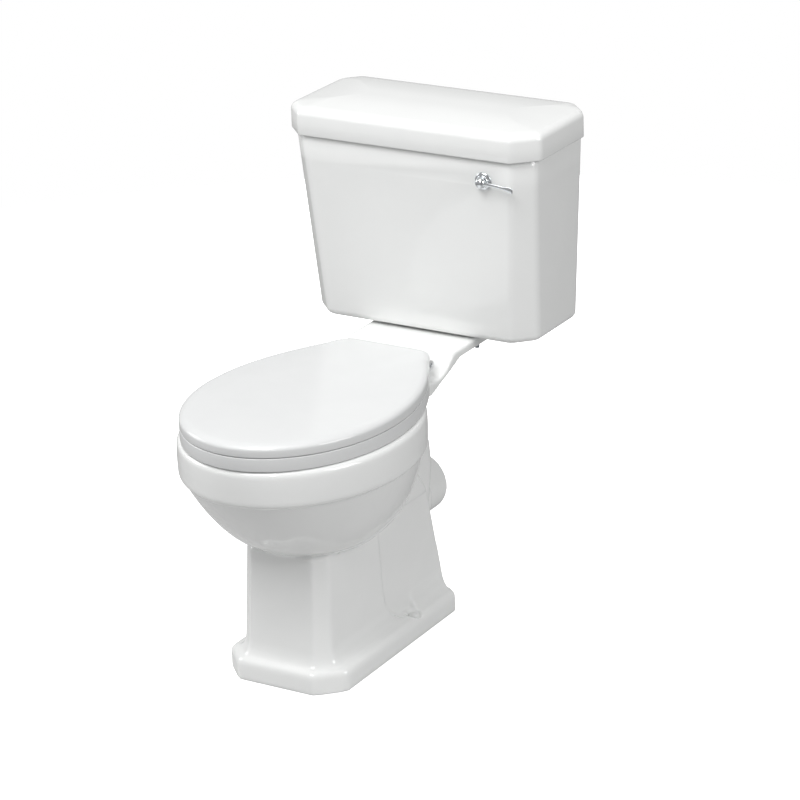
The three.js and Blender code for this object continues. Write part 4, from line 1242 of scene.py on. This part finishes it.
def makeCouplingSet():
    for side, word in ((1, "right"), (-1, "left")):
        node = f"coupling_bolt_{word}"
        at = span(node)
        place = point(at["x"], at["out"], 0)
        head = prism("bolt", 6, 7.1, at["z1"] - 2.6, at["z1"], place, math.pi / 6)
        shank = rod("shank", 3.6, place + Vector((0, 0, at["z0"] * mm)),
            place + Vector((0, 0, (at["z1"] - 1) * mm)))
        finished(rounded(fused(head, [shank]), 0.35, 40), node + "_forged", node, sharp=40)
        thread(node + "_thread", node, 3.6, point(at["x"], at["out"], at["z0"] + 1), 36, 1.5, "zinc")
        makeWasher(f"coupling_washer_{word}", 4.5)
        makeWingNut(f"coupling_wing_nut_{word}", 4.6, math.pi / 2)
    at = span("coupling_plate")
    place = point(at["x"], at["out"], 0)
    corner = [(75, 30), (-75, 30), (-75, -30), (75, -30)]
    ring = softened([Vector((x * mm, y * mm, 0)) for x, y in corner], 7 * mm)
    plate = loft("plate", [[place + p + Vector((0, 0, z * mm)) for p in ring] for z in (at["z0"], at["z1"])])
    pads = [rod("pad", 22, place + Vector((x * mm, 0, at["z0"] * mm)),
        place + Vector((x * mm, 0, at["z1"] * mm))) for x in (coupling["x"] - 6, 6 - coupling["x"])]
    fused(plate, pads)
    carved(plate, [rod("eye", 29, place + Vector((0, 0, (at["z0"] - 1) * mm)),
        place + Vector((0, 0, (at["z1"] + 1) * mm)), 72)])
    finished(rounded(plate, 0.7, 40), "coupling_plate_pressing", "coupling_plate", sharp=40)
    at = span("coupling_seal")
    bulge = [(38.9, at["z0"] + 1), (43, at["z0"]), (48, at["z0"] + 3), (48.6, at["z0"] + 10),
        (47.4, at["z1"] - 3), (44, at["z1"]), (38.9, at["z1"])]
    finished(lathe("seal", bulge, point(at["x"], at["out"], 0), radius=2.5, sides=96),
        "coupling_seal_moulding", "coupling_seal", sharp=70)


def makeSiphon():
    floorTop = cistern["bottom"] + cistern["floor"]
    washer, liftX, depth, wall, top = floorTop + 3.6, 52.5, 44, 3, 640
    y0, y1 = inlet["out"] + depth / 2, inlet["out"] - depth / 2
    leg = block("siphon", point(-27, y0, washer + 2), point(27, y1, top))
    chamber = block("chamber", point(liftX - 32.5, y0, 470), point(liftX + 28.5, y1, top))
    ribs = [block("rib", point(-29, y0 + 1.6, z), point(liftX + 28.5, y1 - 1.6, z + 3))
        for z in (500, 545, 590, 628)]
    flange = upright("flange", 36, washer, washer + 6, 0, inlet["out"])
    boss = upright("boss", 8, top - 1, top + 9, liftX, inlet["out"])
    fused(leg, [chamber])
    rounded(leg, 3.2, 60)
    fused(leg, [rounded(rib, 0.8, 60) for rib in ribs])
    fused(leg, [flange, upright("tail", 27.4, 410, washer + 1, 0, inlet["out"]), boss])
    inner = depth - 2 * wall
    h0, h1 = inlet["out"] + inner / 2, inlet["out"] - inner / 2
    carved(leg, [
        block("rise", point(-20, h0, washer + 8), point(20, h1, top - wall)),
        block("over", point(-16, h0, top - wall - 52), point(80 - 2.5, h1, top - wall)),
        block("well", point(28, h0, 460), point(79, h1, top - wall)),
        upright("tailBore", 18.6, 400, washer + 14, 0, inlet["out"]),
        upright("rodBore", 3.4, top - 10, top + 12, liftX, inlet["out"]),
    ])
    finished(rounded(leg, 0.6, 50), "siphon_moulding", "siphon_body", sharp=40)
    thread("siphon_tail_thread", "siphon_body", 27.4, point(0, inlet["out"], 412), 20, 3, "white_plastic")
    makeWasher("siphon_washer", 29, 1.2)
    at = span("siphon_backnut")
    place = point(0, inlet["out"], 0)
    nut = lathe("nut", [(28.8, at["z0"]), (34.8, at["z0"]), (34.8, at["z1"] - 3), (37.6, at["z1"] - 2.4),
        (37.6, at["z1"]), (28.8, at["z1"])], place, radius=0.7, sides=96)
    grips = rodRow("siphon_backnut_grips",
        [place + Vector((math.cos(a), math.sin(a), 0)) * 34.6 * mm + Vector((0, 0,
        (at["z0"] + at["z1"] - 2) / 2 * mm))
                                            for a in (2 * math.pi * k / 72 for k in range(72))], 12, 2.6,
                                            at["z1"] - at["z0"] - 2.4, "white_plastic")
    finished(grips, "siphon_backnut_grips", body=bodyOf["siphon_backnut"], slot="white_plastic", sharp=40)
    finished(nut, "siphon_backnut_moulding", "siphon_backnut", sharp=40)
    plate = block("piston", point(29.5, inlet["out"] + 17.5, 478), point(77.5, inlet["out"] - 17.5, 482))
    slots = [block("slot", point(29.5 + 5 + 7.4 * k, inlet["out"] + 12, 470),
        point(29.5 + 8.4 + 7.4 * k, inlet["out"] - 12, 490)) for k in (0, 1, 4, 5)]
    carved(plate, slots + [upright("rodHole", 2.4, 470, 490, liftX, inlet["out"])])
    finished(rounded(plate, 0.6, 40), "siphon_piston_moulding", "siphon_piston", sharp=40)
    at = span("lift_rod")
    bar = at["z1"] - 2
    wire = upright("wire", 2, at["z0"], bar, liftX, inlet["out"], 24)
    stops = [upright("stop", 5, z, z + 3.4, liftX, inlet["out"]) for z in (at["z0"], 482.6)]
    hook = level("hook", 2, at["out"] + at["deep"] / 2, inlet["out"] - 2, liftX, bar, 24)
    finished(rounded(fused(wire, stops + [hook]), 0.4, 50), "lift_rod_wire", "lift_rod", sharp=50)


floatSwing = {"x": valve["x"] + 22, "z": valve["top"] + 4, "reach": 66, "drop": 25}


def makeFillValve():
    x, out, top = valve["x"], valve["out"], valve["top"]
    floorTop = cistern["bottom"] + cistern["floor"]
    washer = floorTop + 2.6
    place = point(x, out, 0)
    profile = [
        (0, 404), (9.6, 404), (9.6, washer), (17, washer), (17, washer + 5), (12, washer + 8), (12, 560),
        (13, 562), (13, 566),
        (12, 568), (12, top - 32), (15, top - 28), (15, top + 5), (12, top + 8), (0, top + 8),
    ]
    body = lathe("valve", profile, place, radius=0.8)
    cheeks = [block("cheek", point(floatSwing["x"] - 11, out - y + 2, top - 2),
        point(floatSwing["x"] + 5, out - y - 2, top + 10)) for y in (6.5, -6.5)]
    fused(body, [rounded(cheek, 1.4, 40) for cheek in cheeks])
    carved(body, [upright("bore", 6.2, 400, top - 40, x, out),
        level("pivotHole", 2.6, out - 10, out + 10, floatSwing["x"], floatSwing["z"], 24)])
    finished(rounded(body, 0.4, 50), "fill_valve_moulding", "fill_valve", sharp=40)
    thread("fill_valve_tail_thread", "fill_valve", 9.6, point(x, out, 405), 42, 1.8, "white_plastic")
    ring = [place + Vector((math.cos(a), math.sin(a), 0)) * 14.6 * mm + Vector((0, 0, (top - 11) * mm))
            for a in (2 * math.pi * k / 48 for k in range(48))]
    grips = rodRow("grips", ring, 16, 0.9, 26, "white_plastic", 10)
    finished(grips, "fill_valve_grips", body=bodyOf["fill_valve"], slot="white_plastic", sharp=40)
    makeWasher("fill_valve_washer", 10.8, 0.5)
    at = span("fill_valve_backnut")
    nut = prism("nut", 6, 17, at["z0"], at["z1"], point(at["x"], at["out"], 0))
    carved(nut, [upright("hole", 10.4, at["z0"] - 2, at["z1"] + 2, at["x"], at["out"])])
    finished(rounded(nut, 0.7, 40), "fill_valve_backnut_moulding", "fill_valve_backnut", sharp=40)


def makeFloat():
    swing = Matrix.Translation(point(floatSwing["x"], valve["out"],
        floatSwing["z"])) @ Matrix.Rotation(math.radians(floatSwing["drop"]), 4, "Y")
    reach = Matrix.Translation(Vector((floatSwing["reach"] * mm, 0, 0)))
    profile = [(0, -26), (17, -26), (24, -23), (27, -15), (27, -1.2), (26.2, -0.4), (26.2, 0.4), (27, 1.2),
        (27, 16), (23, 24), (14, 26.8), (0, 27)]
    finished(lathe("float", profile, toFrame=swing @ reach, radius=2.2), "float_moulding", "float", sharp=70)
    pin = rod("arm", 2.1, swing @ Vector((0, 0.01, 0)), swing @ Vector((0, -0.01, 0)), 24)
    eye = rod("eye", 5, swing @ Vector((0, 0.0036, 0)), swing @ Vector((0, -0.0036, 0)))
    bar = block("bar", Vector((0.0017, -0.002, -0.0035)), Vector((0.0387, 0.002, 0.0035)))
    bar.data.transform(swing)
    finished(rounded(fused(eye, [pin, bar]), 0.7, 40), "float_arm_moulding", "float_arm", sharp=40)


def makeLeverInside():
    turn = math.pi / 8
    wallInside = cistern["wall"] / math.cos(lean)
    start, end = leverPoint(0, 6.4, 0), leverPoint(0, -flush["spindle"] - 6, 0)
    toSpindle = leverFrame @ Matrix.Rotation(math.pi / 2, 4, "X")
    spindle = prism("spindle", 8, 4.6, -flush["spindle"] - 6, 6.4, Vector((0, 0, 0)), turn)
    spindle.data.transform(toSpindle)
    finished(rounded(spindle, 0.5, 30), "lever_spindle_bar", "lever_spindle", sharp=40)
    tip = flush["reach"] + 10
    blade = block("blade", Vector((-tip * mm, 0.0825, -0.005)), Vector((0.006, 0.0855, 0.005)))
    blade.data.transform(leverFrame)
    blade = rounded(blade, 1.2, 40)
    hub = rod("hub", 9, leverPoint(0, -flush["spindle"] + 3, 0), leverPoint(0, -flush["spindle"] - 3, 0))
    bore = prism("bore", 8, 5, -120, 0, Vector((0, 0, 0)), turn)
    bore.data.transform(toSpindle)
    carved(fused(hub, [blade]), [bore])
    finished(rounded(hub, 0.3, 50), "lever_arm_casting", "lever_arm", sharp=40)
    washer = [(8.4, -wallInside - 2.3), (15, -wallInside - 2.3), (15, -wallInside - 0.3),
        (8.4, -wallInside - 0.3)]
    finished(leverLathe("washer", washer, 0.5), "lever_washer_ring", "lever_washer", sharp=60)
    nut = prism("nut", 6, 14, -wallInside - 7.5, -wallInside - 2.7, Vector((0, 0, 0)))
    hole = prism("hole", 48, 8.4, -60, 10, Vector((0, 0, 0)))
    carved(nut, [hole])
    nut.data.transform(toSpindle)
    finished(rounded(nut, 0.6, 40), "lever_locknut_turned", "lever_locknut", sharp=40)
    thread("escutcheon_thread", "lever_escutcheon", 8, None, 6, 1.4, "chrome",
           toFrame=toSpindle @ Matrix.Translation(Vector((0, 0, -0.0188))))


def makeHinges():
    z = 404.8
    for side, word in ((1, "right"), (-1, "left")):
        x = side * hinge["x"]
        base = lathe("base", [(0, z), (15, z), (15, z + 2.6), (12.6, z + 4.5), (0, z + 4.5)],
            point(x, hinge["boltOut"], 0), radius=0.8)
        neckLine = [(hinge["out"] + 12.5, z), (hinge["out"] + 12.5, z + 3), (hinge["out"] + 4.5, z + 18),
            (hinge["out"] - 4, z + 20), (hinge["out"] - 5.5, z + 8), (hinge["out"] - 5.5, z)]
        neck = slab("neck", neckLine, x - 7, x + 7, radius=3)
        barrel = rod("barrel", 6.6, point(x - 7, hinge["out"], hinge["z"]),
            point(x + 7, hinge["out"], hinge["z"]))
        fused(base, [neck, barrel])
        carved(base, [
            rod("pinHole", hinge["pin"] + 0.3, point(x - 10, hinge["out"], hinge["z"]),
            point(x + 10, hinge["out"], hinge["z"])),
            upright("boltHole", 5, z - 1, z + 30, x, hinge["boltOut"]),
            upright("headRoom", 8.6, z + 4.5, z + 30, x, hinge["boltOut"]),
        ])
        finished(rounded(base, 0.7, 40), f"hinge_post_{word}_casting", f"hinge_post_{word}", sharp=40)
        low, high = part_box(f"hinge_pin_{word}")
        pin = rod("pin", hinge["pin"], Vector((low.x, wallY - hinge["out"] * mm, hinge["z"] * mm)),
            Vector((high.x, wallY - hinge["out"] * mm, hinge["z"] * mm)))
        finished(rounded(pin, 0.8, 40), f"hinge_pin_{word}_rod", f"hinge_pin_{word}", sharp=50)
        top = z + 4.8
        bolt = lathe("bolt", [(0, 370), (3.4, 370), (3.6, 372), (3.6, top), (7.6, top), (7.6, top + 1.8),
            (5.6, top + 3.9), (0, top + 4)], point(x, hinge["boltOut"], 0), radius=0.4)
        finished(bolt, f"hinge_bolt_{word}_turned", f"hinge_bolt_{word}", sharp=50)
        thread(f"hinge_bolt_{word}_thread", f"hinge_bolt_{word}", 3.6, point(x, hinge["boltOut"], 372), 28,
            1.5, "zinc")
        makeWasher(f"hinge_washer_{word}", 4.5)
        makeWingNut(f"hinge_wing_nut_{word}", 4.6)


# Soft oval pads that keep the ring off the rim and the lid off the ring.
def makeBuffers():
    for part in ("ring", "lid"):
        for word in ("front_right", "front_left", "rear_right", "rear_left"):
            node = f"{part}_buffer_{word}"
            at = span(node)
            x, out = at["x"], at["out"]
            turn = math.atan2(seat["centre"] - out, x) + math.pi / 2
            spin = Matrix.Translation(point(x, out, 0)) @ Matrix.Rotation(turn, 4, "Z")
            high = at["z1"] - at["z0"]
            soft = min(0.9, high * 0.45)
            levels = [(soft * (1 - math.cos(a)) * 1.0, soft * (1 - math.sin(a)))
                for a in (math.pi / 2 * k / 4 for k in range(5))]
            rings = [[spin @ Vector(((17 - step) * math.cos(a) * mm, (6.5 - step) * math.sin(a) * mm,
                (at["z0"] + rise) * mm))
                      for a in (2 * math.pi * k / 40 for k in range(40))] for rise,
                      step in levels + [(high, 0)]]
            finished(loft(node, rings), node + "_pad", node, sharp=60)


for side, word in ((1, "right"), (-1, "left")):
    makeFloorFixing(side, word)
makeCouplingSet()
makeSiphon()
makeFillValve()
makeFloat()
makeLeverInside()
makeHinges()
makeBuffers()
print("toilet: fittings made")
